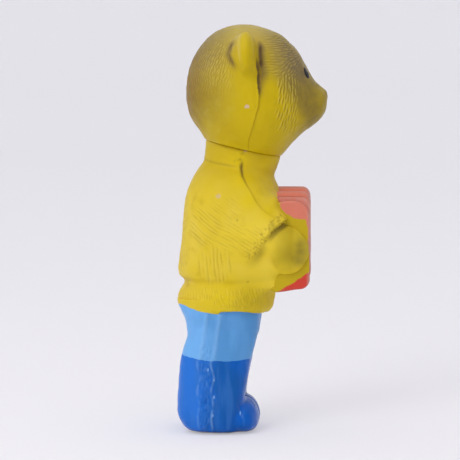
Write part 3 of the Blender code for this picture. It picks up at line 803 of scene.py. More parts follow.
bodyPaint = {
    # forward, up, radius, strength
    # painted shade: low on the sweater near the hem, and on the hand
    "shades": [(-0.2, 60.3, 6.5, 0.25), (20.6, 79.6, 3.0, 0.75), (21.4, 82.0, 2.9, 0.95),
               (21.4, 84.6, 2.8, 0.75), (18.4, 81.4, 4.8, 0.3), (-4.4, 59.6, 3.6, 0.2)],
    # painted light: where the arm, the belly and the hand's lower side catch more light
    "pale": [(-2.5, 88.5, 9.0, 0.9), (5.5, 86.0, 8.0, 0.7), (2.0, 72.0, 7.0, 0.6),
             (14.0, 71.5, 6.0, 0.8), (20.0, 73.5, 4.0, 0.8)],
    "rich": [(-5.5, 121.0, 5.5, 0.9), (-4.0, 112.0, 5.0, 0.9), (-1.0, 104.5, 5.0, 0.8),
             (9.0, 121.5, 6.0, 0.8), (8.0, 99.5, 4.0, 0.7), (-12.0, 63.0, 9.0, 0.8), (0.0, 62.0, 9.0, 0.85),
             (8.0, 60.0, 7.0, 0.7), (16.0, 70.0, 8.0, 0.8), (22.0, 79.0, 7.0, 0.6)],
    # forward, up, radius
    "chips": [(-13.9, 106.0, 0.9), (-2.6, 125.2, 0.7)],
    # forward, up
    "pits": [(-1.1, 68.2), (-5.5, 95.6)],
    "glints": [(-18.7, 29.2), (-16.0, 24.8), (-16.0, 17.2), (-16.5, 9.2), (-4.6, 9.8)],
    "toeCrease": [(-6.4, 16.2), (-4.7, 11.5), (-4.0, 7.0), (-3.3, 2.1)],
    "collarEdge": [(-26, 122.2), (-18.8, 120.2), (-8.3, 118.5), (-0.9, 117.7), (4.5, 117.4), (12, 119.0)],
}


def squareAway(across, along, p):  # 1 on a rounded square
    return (across**p + np.abs(along) ** p) ** (1 / p)


def sweaterShape(x, f, z):
    table = bodyForm["sweater"]
    level = z
    for _ in range(2):  # the levels lean, so the one through this point is found by steps
        along = f - look(table, level, 0)
        middle = (look(table, level, 2) - look(table, level, 1)) / 2
        level = z - (middle - along) * np.tan(np.radians(look(table, level, 4)))
    along = f - look(table, level, 0)
    reach = np.where(along > 0, look(table, level, 2), look(table, level, 1))
    return squareAway(np.abs(x) / look(table, level, 3), along / reach, look(table, level, 5)) - 1


def legShape(x, f, z):
    table = bodyForm["leg"]
    along = f - bodyForm["legForward"]
    reach = np.where(along > 0, look(table, z, 1), look(table, z, 0))
    across = np.abs(np.abs(x) - bodyForm["legOut"]) / look(table, z, 2)
    return squareAway(across, along / reach, bodyForm["legSquareness"]) - 1


def hemHeight(x, f):
    # the hem's edge wavers round the sides, and runs on level at the back and in front
    return alongRows(f, bodyForm["hem"]) + 0.5 * np.sin(x * 0.35 + 0.6) * (np.abs(f + 8) > 14)


def legsDistance(x, f, z):
    legs = np.maximum(asDistance(legShape, x, f, z), z - 60)
    middle, half = bodyForm["toe"]
    lower = np.where(z < middle[2], middle[2] + (z - middle[2]) * bodyForm["toeLift"], z)
    legs = softMin(legs, ellipsoid((np.abs(x), f, lower), middle, half), bodyForm["toeFillet"])
    return softMax(legs, -z, bodyForm["soleEdge"])


def sweaterDistance(x, f, z):
    return softMax(asDistance(sweaterShape, x, f, z), hemHeight(x, f) - z, bodyForm["hemEdge"])


def handDistance(x, f, z):
    place, palm, radius = (np.abs(x), f, z), bodyForm["palm"], bodyForm["wristRadius"]
    wrist = tube(place, bodyForm["cuff"], palm, radius, radius, 0.85)
    hand = softMin(ellipsoid(place, palm, bodyForm["hand"]), wrist, 3.0)
    hand = softMin(hand, ellipsoid(place, palm, bodyForm["handRim"]), 3.0)  # flares onto the board
    return np.maximum(hand, palm[0] - place[0])


def chestDistance(x, f, z):
    middle, half, corner = bodyForm["chest"]
    past = [np.abs(v - m) - h + corner for v, m, h in zip((x, f, z), middle, half)]
    outer = np.sqrt(sum(np.maximum(p, 0) ** 2 for p in past))
    return outer + np.minimum(np.maximum(np.maximum(past[0], past[1]), past[2]), 0) - corner


def pastCuff(x, f, z):  # how far beyond the cuff, along the arm
    axis = np.subtract(bodyForm["cuff"], bodyForm["shoulder"])
    axis = axis / np.linalg.norm(axis)
    return sum((p - c) * a for p, c, a in zip((np.abs(x), f, z), bodyForm["cuff"], axis))


def bodyDistance(x, f, z):
    d = softMin(sweaterDistance(x, f, z), legsDistance(x, f, z), 0.5)
    # the sleeve: a wide cape-like form that melts into the back, cut off at the cuff
    shoulder, cuff = bodyForm["shoulder"], bodyForm["cuff"]
    radii = bodyForm["shoulderRadius"], bodyForm["cuffRadius"]
    sleeve = tube((np.abs(x), f, z), shoulder, cuff, *radii, bodyForm["sleeveFlatness"])
    sleeve = softMax(sleeve, pastCuff(x, f, z), 1.4)
    d = softMin(softMin(d, chestDistance(x, f, z), 3.5), sleeve, 5.0)
    # the hand melts into the wrist behind and below, and stands out above
    soft = fade(8, 15, f) * ease(90, 84, z) * 4.0 + ease(80, 73, z) * 1.5
    d = softMin(d, handDistance(x, f, z), 0.4 + soft)
    # the collar's lid, and the room for the head's plug and the squeaker
    d = softMax(d, neckHeight(f, z) + neck["gap"], 0.4)
    d = np.maximum(d, -neckDisc(x, f, z, *bodyForm["collarHole"]))
    d = np.maximum(d, -neckDisc(x, f, z, *bodyForm["collarRoom"]))
    forward, radius, top = bodyForm["pocket"]
    return np.maximum(d, -np.maximum(np.hypot(x, f - forward) - radius, z - top))


def bodySeam(z):
    start, lean = bodyForm["seam"]
    return start + lean * z


def combed(points, normals, tree, weight, way, length, gap, width, depth, drawn, seed):
    # strokes in a direction in space that is mirrored on the other side
    ways = np.tile(way, (len(points), 1))
    ways[:, 0] *= np.sign(points[:, 0])
    places = layStrokes(points, normals, weight, ways, length, gap, seed)
    return carveStrokes(points, tree, places, drawn, width, depth)


def sweaterLines(points, normals, tree, hand, onSweater):
    x, f, z = points.T
    carve = np.zeros(len(f))
    for middle, half, way, length, gap, depth, seed in bodyRelief["knit"]:
        weight = fade(0.55, 1.05, scaledAway((np.abs(x), f, z), middle, half)) * (hand > 1.5)
        carve += combed(points, normals, tree, weight, way, length, gap, 0.72, depth, length * 1.2, seed)
    for forward, up, wide, high, way, gap, depth, seed in bodyRelief["ribs"]:
        weight = ease(1.0, 0.55, np.hypot((f - forward) / wide, (z - up) / high))
        weight *= ease(13, 17, np.abs(x)) * (hand > 1.5)
        across = (z - up) * way[0] - (f - forward) * way[1]
        along = (f - forward) * way[0] + (z - up) * way[1]
        line = np.cos(2 * math.pi * (across / gap + 0.1 * waves(points, 12, seed)))
        strength = 0.9 + waves(np.column_stack([across, along * 0.15, along * 0]), 1.8, seed + 20)
        carve += depth * weight * np.clip(strength, 0, 1.3) * np.where(line > 0, -line, -0.4 * line)
    hem = window(z, 56.0, 57.5, 64.0, 66.5) * (onSweater > 1)
    return carve + combed(points, normals, tree, hem, (0, 0.2, -0.98), 3.6, 0.85, 0.4, 0.19, 4.6, 41)


def cuffMarks(points, tree, hand):
    # a crumbly raised edge, deep where the hand comes out, with painted shade in the crease there, in its
    # pits and along its lower side
    x, f, z = points.T
    side, along = np.abs(x), pastCuff(x, f, z)
    onArm = (side > 15) & (z > 72) & (z < 100) & (f > -2)
    edge = peak(along + 0.9, 2.4) * onArm * (hand > 0.25) * ease(76, 83, z)
    crease = peak(hand, 0.7) * onArm * window(along, -1.2, 0.2, 1.6, 3.0) * (side > 18.2) * ease(83, 92, z)
    rng = np.random.default_rng(51)
    able = np.flatnonzero(peak(along + 1.0, 2.6) * onArm * (hand > 0.5) * ease(77, 82, z) > 0.3)
    fine, coarse, lumps = (
        dent(points, tree, points[rng.choice(able, count)], *sizes)
        for count, *sizes in (*bodyRelief["cuffPits"], bodyRelief["cuffLumps"])
    )
    pits = np.minimum(fine, coarse)
    # painted shade along the lower cuff, where the sleeve's edge stands over the wrist
    lower = ((f - 5.5) * 0.75 + (z - 77.5) * 0.66) / 4.5
    under = bell(np.hypot(lower, (along - 1.6) / 1.5), 1) * onArm
    shade = np.maximum(np.maximum(0.6 * crease, -0.8 * pits), 0.35 * under)
    offset = pits + lumps + bodyRelief["cuffEdge"] * edge - bodyRelief["cuffCrease"] * crease
    return offset, edge, shade


def legMarks(points, onLegs):
    # ridges, folds and drips down the legs, the ridges, folds and glints paled as painted highlights, and the
    # blues paler towards the heels and behind the folds as painted light
    x, f, z = points.T
    side = np.abs(x)
    outer = onLegs * (side > 12)
    wobble = 0.8 * waves(np.column_stack([side * 0, f * 0, z]), 9, 54)
    band = np.clip(1 - ((f + 19.7 + wobble) / 3.1) ** 4, 0, 1) * outer * window(z, 1, 3, 36, 46)
    streaky = points * [1, 1.4, 0.5]
    uneven = unevenness(streaky, bodyRelief["heelUneven"])
    offset = band * (bodyRelief["heelBand"] + uneven)
    rubbedAndGlint = 0.2 * band * np.clip(uneven * 3, 0, 1)
    # the raised ridges are paled as painted highlights
    for place, height in bodyRelief["legRidges"]:
        ridge = height * bell(f - place + wobble, 0.45) * outer * window(z, 1, 3, 33, 36)
        ridge *= np.clip(0.7 + 0.6 * waves(points, 3.5, 64), 0, 1.3)
        offset += ridge
        rubbedAndGlint = np.maximum(rubbedAndGlint, ridge)
    # painted light: paler towards the heels, the side lit from behind
    heel = 0.35 * ease(-8, -30, f)
    for line, height, paler in bodyRelief["legFolds"]:
        away, past, _ = alongLine(f, z, line)
        fold = bell(away, 0.8) * outer * ease(32, 36, z)
        offset += height * fold
        rubbedAndGlint = np.maximum(rubbedAndGlint, 0.5 * fold)
        heel += paler * ease(1.2, -1.2, away * past)
    offset -= bodyRelief["betweenToes"] * bell(x, 0.7) * onLegs * (f > -9) * ease(0.5, 2, z)
    for forward, up in bodyPaint["glints"]:
        away = np.hypot((f - forward) / 0.42, (z - up) / 1.1)
        glint = np.clip(1.2 - 1.2 * away, 0, 1) * (side > 9) * onLegs
        offset += bodyRelief["glint"] * glint
        rubbedAndGlint = np.maximum(rubbedAndGlint, 1.6 * glint)
    away, _, share = alongLine(f, z, bodyPaint["toeCrease"])
    offset -= bodyRelief["toeCrease"] * bell(away, 0.5) * fadeEnds(share, 0.3) * (side > 6)
    return offset, rubbedAndGlint, heel


def neckMarks(points):
    # the lump of flash at the neck, the sleeve's edge with the slit under it, and the collar's edge; the slit
    # and the collar's back edge are darkened as painted shade
    x, f, z = points.T
    side, relief = np.abs(x), bodyRelief
    lump = ease(0, 0.6, peak(np.hypot((f + 5.4) / 4.2, (z - 124.0) / 6.0), 1) * (side > 9))
    offset = lump * (relief["lump"] + unevenness(points, relief["lumpUneven"]))
    away, ahead, share = alongLine(f, z, bodyForm["shoulderEdge"])
    onEdge = (side > 11) * (z > 93) * fadeEnds(share, 0.1)
    edge, under = relief["sleeveEdge"] * bell(away, 3.2), relief["underSleeve"] * np.exp(-away / 4.0)
    offset += onEdge * np.where(ahead < 0, edge, -under)
    slit = peak(away, 1.1) * onEdge * (0.06 + 0.94 * ease(0.42, 0.15, share))
    away, above, _ = alongLine(f, z, bodyPaint["collarEdge"])
    collar = peak(away, 2.4) * (above > 0) * (z > 112) * (1 - 0.7 * ease(-8, -3, f))
    # the collar's back edge, darkened as painted shade
    line = peak(away, 0.9) * (z > 112) * fade(-10, -5, f)
    offset += relief["collarEdge"] * collar - relief["slit"] * slit
    return offset, lump, np.maximum(slit, 0.3 * line)


def makeBody():
    points, quads, normals = formSurface(bodyDistance, *bodyForm["room"], bodyForm["step"])
    print("body surface", len(points), "points")
    x, f, z = points.T
    side, tree = np.abs(x), nearPoints(points)
    legs, sweater, hand = (part(x, f, z) for part in (legsDistance, sweaterDistance, handDistance))
    onSweater = legs - np.minimum(sweater, hand)
    carve = sweaterLines(points, normals, tree, hand, onSweater)
    cuff, cuffEdge, shade = cuffMarks(points, tree, hand)
    leg, rubbedAndGlint, heel = legMarks(points, (z < 54) & (onSweater < 0))
    collar, lump, crease = neckMarks(points)
    # painted shade in the blots, and darker mottling on the neck's lump
    shade = np.maximum(shade, blots(f, z, bodyPaint["shades"]) * (side > 8))
    shade = np.maximum(shade, 0.3 * lump * np.clip(waves(points, 2.0, 61), 0, 1))
    rimLight = bell(hand + 0.5, 0.6) * (side > 18) * ease(17, 20, f) * ease(75, 79, z)
    spots = chipped(points, bodyPaint["chips"], 0.22 * waves(points, 1.5, 62))
    pit = sum(peak(np.hypot(f - forward, z - up), 0.55) for forward, up in bodyPaint["pits"]) * (x < -9)
    offset = carve + cuff + leg + collar + unevenness(points, bodyRelief["uneven"])
    offset -= bodyRelief["chip"] * spots + bodyRelief["pit"] * pit
    # no relief in the collar, in the squeaker's pocket or under the soles, nor is the seam lifted there
    forward, radius, top = bodyForm["pocket"]
    inPocket = (np.hypot(x, f - forward) < radius + 0.3) & (z < top + 0.5)
    outside = (neckDisc(x, f, z, 14.5, -8.0, 4.0) > 0) & ~inPocket & (z > 0.25)
    free = outside * ease(0.15, 1.2, -neckHeight(f, z))
    return meshFrom("body", points + normals * (offset * free)[:, None], quads, {
        "hemLine": np.clip(z - hemHeight(x, f), -2, 2),
        "bootLine": z - alongRows(f, bodyForm["boot"]) + 0.12 * waves(points, 5, 63),
        "shade": shade * (1 - 0.7 * rimLight),
        "rich": blots(f, z, bodyPaint["rich"]) * (side > 6),
        "pale": np.maximum(blots(f, z, bodyPaint["pale"]) * (side > 10), rimLight),
        "hand": ease(0.5, -0.3, hand) * (side > 17.9) * ease(71, 79, z) * ease(6, 13, f),
        "rubbedAndGlint": rubbedAndGlint, "heel": heel, "carve": carve, "spot": spots, "pit": pit, "crease": crease,
        "cuff": cuffEdge,
        **liftWays(normals, free),
    })


# Materials


class Nodes:
    # short ways to build one node tree
    def __init__(self, tree):
        self.tree = tree

    def add(self, kind, inputs=None, **settings):
        node = self.tree.nodes.new(kind)
        for key, value in settings.items():
            setattr(node, key, value)
        for key, value in (inputs or {}).items():
            socket = node.inputs[key]
            if isinstance(value, bpy.types.NodeSocket):
                self.tree.links.new(value, socket)
            else:
                socket.default_value = (*value, 1) if socket.type == "RGBA" else value
        return node.outputs

    def math(self, operation, a, b=0.0, clamp=False):
        return self.add("ShaderNodeMath", {0: a, 1: b}, operation=operation, use_clamp=clamp)[0]

    def times(self, first, *others):
        for other in others:
            first = self.math("MULTIPLY", first, other)
        return first


class Paint(Nodes):
    # a finish whose colour is built up in coats, laid over each other by their shares
    def __init__(self, name, colours, base, finish=None):
        self.material = bpy.data.materials.new(name)
        self.material.use_nodes = True
        super().__init__(self.material.node_tree)
        self.shader = self.tree.nodes["Principled BSDF"]
        self.colours, self.colour, self.look = colours, colours[base], finish

    def attribute(self, name):
        return self.add("ShaderNodeAttribute", attribute_name=name)["Fac"]

    def axis(self, name):
        return self.add("ShaderNodeSeparateXYZ", {0: self.add("ShaderNodeTexCoord")["Object"]})[name]

    def noise(self, scale, detail, shift=0.0, stretch=(1, 1, 1)):
        place = self.add("ShaderNodeTexCoord")["Object"]
        moved = {"Vector": place, "Location": [shift] * 3, "Scale": stretch}
        place = self.add("ShaderNodeMapping", moved)[0]
        return self.add("ShaderNodeTexNoise", {"Vector": place, "Scale": scale, "Detail": detail})["Fac"]

    def remap(self, value, low, high, toLow=0.0, toHigh=1.0):
        inputs = {"Value": value, "From Min": low, "From Max": high, "To Min": toLow, "To Max": toHigh}
        return self.add("ShaderNodeMapRange", inputs, interpolation_type="SMOOTHSTEP")["Result"]

    def ranged(self, value, name):  # a value over one of the finish's ranges
        return self.remap(value, *self.look[name])

    def mottle(self, name):  # noise over a range: scale, detail, shift, then the range, then any stretch
        scale, detail, shift, spread, *stretch = self.look[name]
        return self.remap(self.noise(scale, detail, shift, *stretch), *spread)

    def blend(self, a, b, share):
        a, b = (self.colours[colour] if isinstance(colour, str) else colour for colour in (a, b))
        return self.add("ShaderNodeMix", {0: share, 6: a, 7: b}, data_type="RGBA", clamp_factor=True)[2]

    def coats(self, *rows):
        for colour, *shares in rows:
            self.colour = self.blend(self.colour, colour, self.times(*shares))

    def finish(self, roughness, grain):
        depth, strength = self.look["bump"]
        bump = self.add("ShaderNodeBump", {"Height": grain, "Distance": depth, "Strength": strength})
        ends = {"Base Color": self.colour, "Roughness": roughness, "Normal": bump["Normal"]}
        for name, value in ends.items():
            self.tree.links.new(value, self.shader.inputs[name])
        for name, value in self.look["shader"].items():
            self.shader.inputs[name].default_value = value
        return self.material


# Colours are linear, as Blender's own
vinyl = {
    "yellow": (0.54, 0.39, 0.012),
    "deep": (0.51, 0.34, 0.006),
    "rich": (0.59, 0.43, 0.001),
    "crownSheen": (0.50, 0.405, 0.13),  # painted sheen: the crown paler and greyer towards the top, as lit from above
    "pale": (0.68, 0.54, 0.10),
    "airbrushAndShade": (0.21, 0.148, 0.03),
    "airbrushHigh": (0.205, 0.15, 0.07),
    "backRim": (0.22, 0.11, 0.03),
    "creaseBrown": (0.11, 0.055, 0.03),
    "bare": (0.62, 0.44, 0.30),  # where the paint has chipped off
    "sweater": (0.73, 0.54, 0.030),
    "sweaterPale": (0.77, 0.59, 0.085),
    "sweaterRich": (0.72, 0.53, 0.001),
    "sweaterBright": (0.86, 0.66, 0.04),
    # painted shade: the sweater darker and deeper up towards the neck, under the head
    "collar": (0.56, 0.40, 0.005),
    "hand": (0.38, 0.275, 0.001),
    "grimeAndShade": (0.15, 0.108, 0.022),
    "trousers": (0.095, 0.31, 0.65),
    "trousersPale": (0.175, 0.45, 0.86),
    "boots": (0.0, 0.11, 0.52),
    "bootsDull": (0.003, 0.105, 0.42),
    "bootsPale": (0.022, 0.18, 0.68),
    "bootsWorn": (0.04, 0.18, 0.55),
    "soleShadow": (0.001, 0.016, 0.075),  # painted shadow round the edge of the soles, where they meet the floor
    "rubbedAndGlintPale": (0.30, 0.55, 0.88),  # painted highlights on the raised marks, and paler streaks in the heel band
    "eye": (0.012, 0.011, 0.012),
    "nose": (0.10, 0.07, 0.035),
}


# A finish holds ranges as low, high and what they become, and mottles as the noise's scale, detail and
# shift, its range and any stretch. Heights are in metres here.
headFinish = {
    "patches": (55, 3, 0, (0.4, 0.65)),
    "dust": (240, 5, 3, (0.5, 0.75, 0, 0.3)),
    "crown": (0.163, 0.180, 0, 0.6),
    "brownHigh": (0.150, 0.164),
    "spray": (420, 4, 5, (0.3, 0.7, 0.88, 1.08)),
    "sprayInGroove": (0, 1, 1, 0.7),
    "backRim": (160, 4, 8, (0.3, 0.7, 0.25, 0.62)),
    "groove": (-0.02, -0.26),
    "grooveShare": 0.24,
    "ridge": (0.01, 0.12),
    "ridgeShare": 0.5,
    "creaseShade": (300, 3, 2, (0.3, 0.6, 0.65, 0.9)),
    "specks": (1500, 2, 7, (0.72, 0.76, 0, 0.35)),
    "nose": (0.0, 0.25),
    "noseShare": 0.3,
    "eye": (0.0, 0.12),
    "rough": (260, 4, 1, (0.3, 0.7, 0.38, 0.52)),
    "eyeRough": (0, 1, 1, 0.25),
    "grain": (900, 5, 4),
    "bump": (0.00012, 0.35),
    "shader": {"Specular IOR Level": 0.15},
}


def headVinyl():
    paint = Paint("head_vinyl", vinyl, "yellow", headFinish)
    height, carve = paint.axis("Z"), paint.attribute("carve")
    groove = paint.ranged(carve, "groove")
    eye = paint.ranged(paint.attribute("eye"), "eye")
    brown = paint.blend("airbrushAndShade", "airbrushHigh", paint.ranged(height, "brownHigh"))
    paint.coats(
        ("deep", paint.mottle("patches")),
        ("pale", paint.mottle("dust")),
        # painted sheen on the crown, by height
        ("crownSheen", paint.ranged(height, "crown")),
        ("rich", paint.attribute("rich")),
        (brown, paint.attribute("brown"), paint.mottle("spray"), paint.ranged(groove, "sprayInGroove")),
        ("backRim", paint.attribute("rim"), paint.mottle("backRim")),
        # the fur's grooves browner, partly paint gathered there and partly painted shade; its ridges paled as
        # painted highlights
        ("creaseBrown", groove, headFinish["grooveShare"]),
        ("pale", paint.ranged(carve, "ridge"), headFinish["ridgeShare"]),
        # painted shade in the creases round the ear and at the seam step; brown paint as well behind the ear
        ("creaseBrown", paint.attribute("crease"), paint.mottle("creaseShade")),
        ("grimeAndShade", paint.mottle("specks")),
        ("bare", paint.attribute("spot")),
        ("nose", paint.ranged(paint.attribute("nose"), "nose"), headFinish["noseShare"]),
        ("eye", eye),
    )
    rough = paint.times(paint.mottle("rough"), paint.ranged(eye, "eyeRough"))
    return paint.finish(rough, paint.noise(*headFinish["grain"]))


bodyFinish = {
    "patches": (45, 3, 0, (0.45, 0.7, 0, 0.5)),
    "stains": (150, 5, 3, (0.52, 0.75, 0, 0.4)),
    # painted shade up towards the neck
    "collar": (0.098, 0.122, 0, 0.75),
    "richBelow": (0.098, 0.122, 1, 0.75),
    "cuffShare": 0.8,
    "brightShare": 0.75,
    "groove": (-0.01, -0.16),
    "grooveShare": 0.16,
    "ridge": (0.01, 0.08),
    "ridgeShare": 0.4,
    "shade": (260, 4, 9, (0.3, 0.65, 0.85, 1.1)),
    "creaseShare": 0.75,
    "streaks": (120, 4, 6, (0.35, 0.65, -0.25, 0.25), (1, 1, 0.22)),
    "dullBoots": (55, 3, 13, (0.4, 0.6)),
    "drips": (260, 4, 11, (0.52, 0.72, 0, 0.5), (1, 1, 0.12)),
    "rubbedAndGlintShare": 0.6,
    "soleShadow": (0.0024, 0.0006, 0, 0.85),
    "bootWaver": (500, 3, 2, (0.3, 0.7, -0.15, 0.15)),
    "bootEdge": (-0.12, 0.12),
    "hemWaver": (300, 3, 4, (0.3, 0.7, -0.2, 0.2)),
    "hemEdge": (-0.15, 0.15),
    "specks": (1500, 2, 7, (0.73, 0.77, 0, 0.3)),
    "chipShare": 0.6,
    "pitShare": 0.65,
    "legsRough": (0, 1, 0.2, 0.3),
    "rough": (260, 4, 1, (0.3, 0.7, 0.42, 0.55)),
    "grain": (800, 5, 4),
    "bump": (0.00012, 0.3),
    "shader": {"Specular IOR Level": 0.15},
}


def legPaint(paint, height, onTrousers):
    # painted light: the blues paler towards the heels and behind the folds, as lit from behind, and in
    # upright streaks
    paling = paint.math("ADD", paint.attribute("heel"), paint.mottle("streaks"), clamp=True)
    boots = paint.blend("boots", "bootsDull", paint.mottle("dullBoots"))
    boots = paint.blend(boots, "bootsPale", paling)
    boots = paint.blend(boots, "bootsWorn", paint.mottle("drips"))
    legs = paint.blend(boots, paint.blend("trousers", "trousersPale", paling), onTrousers)
    # painted highlights on the ridges, folds and glints
    legs = paint.blend(legs, "rubbedAndGlintPale", paint.times(paint.attribute("rubbedAndGlint"), bodyFinish["rubbedAndGlintShare"]))
    # painted shadow at the soles' edge, by height
    return paint.blend(legs, "soleShadow", paint.ranged(height, "soleShadow"))


def bodyVinyl():
    paint, finish = Paint("body_vinyl", vinyl, "sweater", bodyFinish), bodyFinish
    height, carve = paint.axis("Z"), paint.attribute("carve")
    line = paint.math("ADD", paint.attribute("bootLine"), paint.mottle("bootWaver"))
    onTrousers = paint.ranged(line, "bootEdge")
    edge = paint.math("ADD", paint.attribute("hemLine"), paint.mottle("hemWaver"))
    onSweater = paint.ranged(edge, "hemEdge")
    cuff = paint.times(paint.attribute("cuff"), finish["cuffShare"])
    bright = paint.math("MAXIMUM", paint.attribute("pale"), cuff)
    paint.coats(
        ("sweaterPale", paint.mottle("patches")),
        ("deep", paint.mottle("stains")),
        # painted shade up towards the neck
        ("collar", paint.ranged(height, "collar")),
        ("sweaterRich", paint.attribute("rich"), paint.ranged(height, "richBelow")),
        ("hand", paint.attribute("hand")),
        # painted light on the arm, belly and lower hand, a painted highlight round the hand's rim, and the
        # raised cuff edge paler
        ("sweaterBright", bright, finish["brightShare"]),
        # the grooves darker, partly paint and partly painted shade; the ridges paled as painted highlights
        ("airbrushAndShade", paint.ranged(carve, "groove"), finish["grooveShare"]),
        ("sweaterPale", paint.ranged(carve, "ridge"), finish["ridgeShare"]),
        # painted shade round the cuff, on the hand and low on the sweater
        ("grimeAndShade", paint.attribute("shade"), paint.mottle("shade")),
        # painted shade in the slit and along the collar's back edge
        ("creaseBrown", paint.attribute("crease"), finish["creaseShare"]),
    )
    paint.colour = paint.blend(legPaint(paint, height, onTrousers), paint.colour, onSweater)
    paint.coats(
        ("grimeAndShade", paint.mottle("specks")),
        ("bare", paint.attribute("spot"), finish["chipShare"]),
        ("creaseBrown", paint.attribute("pit"), finish["pitShare"]),
    )
    both = {0: onSweater, 2: paint.ranged(onTrousers, "legsRough"), 3: paint.mottle("rough")}
    rough = paint.add("ShaderNodeMix", both, data_type="FLOAT")[0]
    return paint.finish(rough, paint.noise(*finish["grain"]))


# Squeezebox

boxForm = {
    "halfWidth": 18.0,
    "board": 2.6,  # thickness of an end board
    "back": 8.0,
    "front": 25.6,
    "bottom": 64.8,
    "top": 103.5,  # at the ends
    "arch": 5.0,  # the middle stands this much higher
    "corners": (7.0, 3.6),  # top and bottom radius
    "bottomTilt": 0.13,
    "pleats": 5,
    "pleatDepth": 1.5,
    "pleatRoundness": 0.8,  # less makes broader ridges and narrower valleys
    "pointsAlong": 181,  # in the bellows' mesh
    "pointsRound": 110,
    "step": 0.4,
    "boardRoom": ((-19.6, 3.0, 61.0), (19.6, 27.4, 106.0)),  # opposite corners
    # the yellow paint that went over the boards: forward, up
    "overspray": [(13.0, 100.5), (15.0, 98.3), (18.4, 96.2), (21.4, 95.3), (23.6, 95.7), (24.5, 92.7),
                  (25.1, 84.4), (26.2, 73.0), (11.5, 63.4), (2.0, 57.0), (2.0, 108.0), (12.4, 108.0)],
}

boxPaint = {
    "pink": (0.70, 0.205, 0.14),
    "red": (0.63, 0.058, 0.038),
    "dustyAndSheen": (0.60, 0.31, 0.25),
    "groove": (0.36, 0.10, 0.06),
    "overspray": (0.55, 0.40, 0.009),
}


def boardDistance(x, f, z):
    box = boxForm
    z = z + box["bottomTilt"] * (21.5 - f) * np.clip((86 - z) / 20, 0, 1)
    middleF, middleZ = (box["back"] + box["front"]) / 2, (box["bottom"] + box["top"]) / 2
    radius = np.where(z > middleZ, *box["corners"])
    a = np.abs(f - middleF) - (box["front"] - box["back"]) / 2 + radius
    b = np.abs(z - middleZ) - (box["top"] - box["bottom"]) / 2 + radius
    outline = np.hypot(np.maximum(a, 0), np.maximum(b, 0)) + np.minimum(np.maximum(a, b), 0) - radius
    half = box["board"] / 2
    return softMax(outline, np.abs(np.abs(x) - box["halfWidth"] + half) - half, 0.9)


boxFinish = {
    "pink": (0.070, 0.092),
    "patches": (110, 4, 0, (0.35, 0.65, -0.004, 0.004)),
    "front": (-0.0238, -0.0255),
    "paling": (300, 4, 3, (0.3, 0.7, 0.35, 0.85)),
    "ridgeSheen": (400, 3, 5, (0.35, 0.65, 0.15, 0.6)),
    "overspray": (-0.35, 0.25),
    "oversprayWaver": (350, 4, 2, (0.3, 0.7, -0.25, 0.25)),
    "rough": (260, 4, 1, (0.3, 0.7, 0.38, 0.52)),
    "grain": (800, 5, 4),
    "bump": (0.00012, 0.3),
    "shader": {"Specular IOR Level": 0.15},
}


def boxPaintwork():
    paint = Paint("box_paint", boxPaint, "red", boxFinish)
    height = paint.math("ADD", paint.axis("Z"), paint.mottle("patches"))
    edge = paint.math("ADD", paint.attribute("zone"), paint.mottle("oversprayWaver"))
    paint.coats(
        # painted light: pink towards the top, as lit from above
        ("pink", paint.ranged(height, "pink")),
        # painted shade in the pleats' valleys
        ("groove", paint.attribute("groove")),
        # worn paler along the front edge
        ("dustyAndSheen", paint.ranged(paint.axis("Y"), "front"), paint.mottle("paling")),
        # the pleats' tops and the boards' front edges paled as painted highlights
        ("dustyAndSheen", paint.attribute("ridge"), paint.mottle("ridgeSheen")),
        ("overspray", paint.ranged(edge, "overspray")),
    )
    return paint.finish(paint.mottle("rough"), paint.noise(*boxFinish["grain"]))


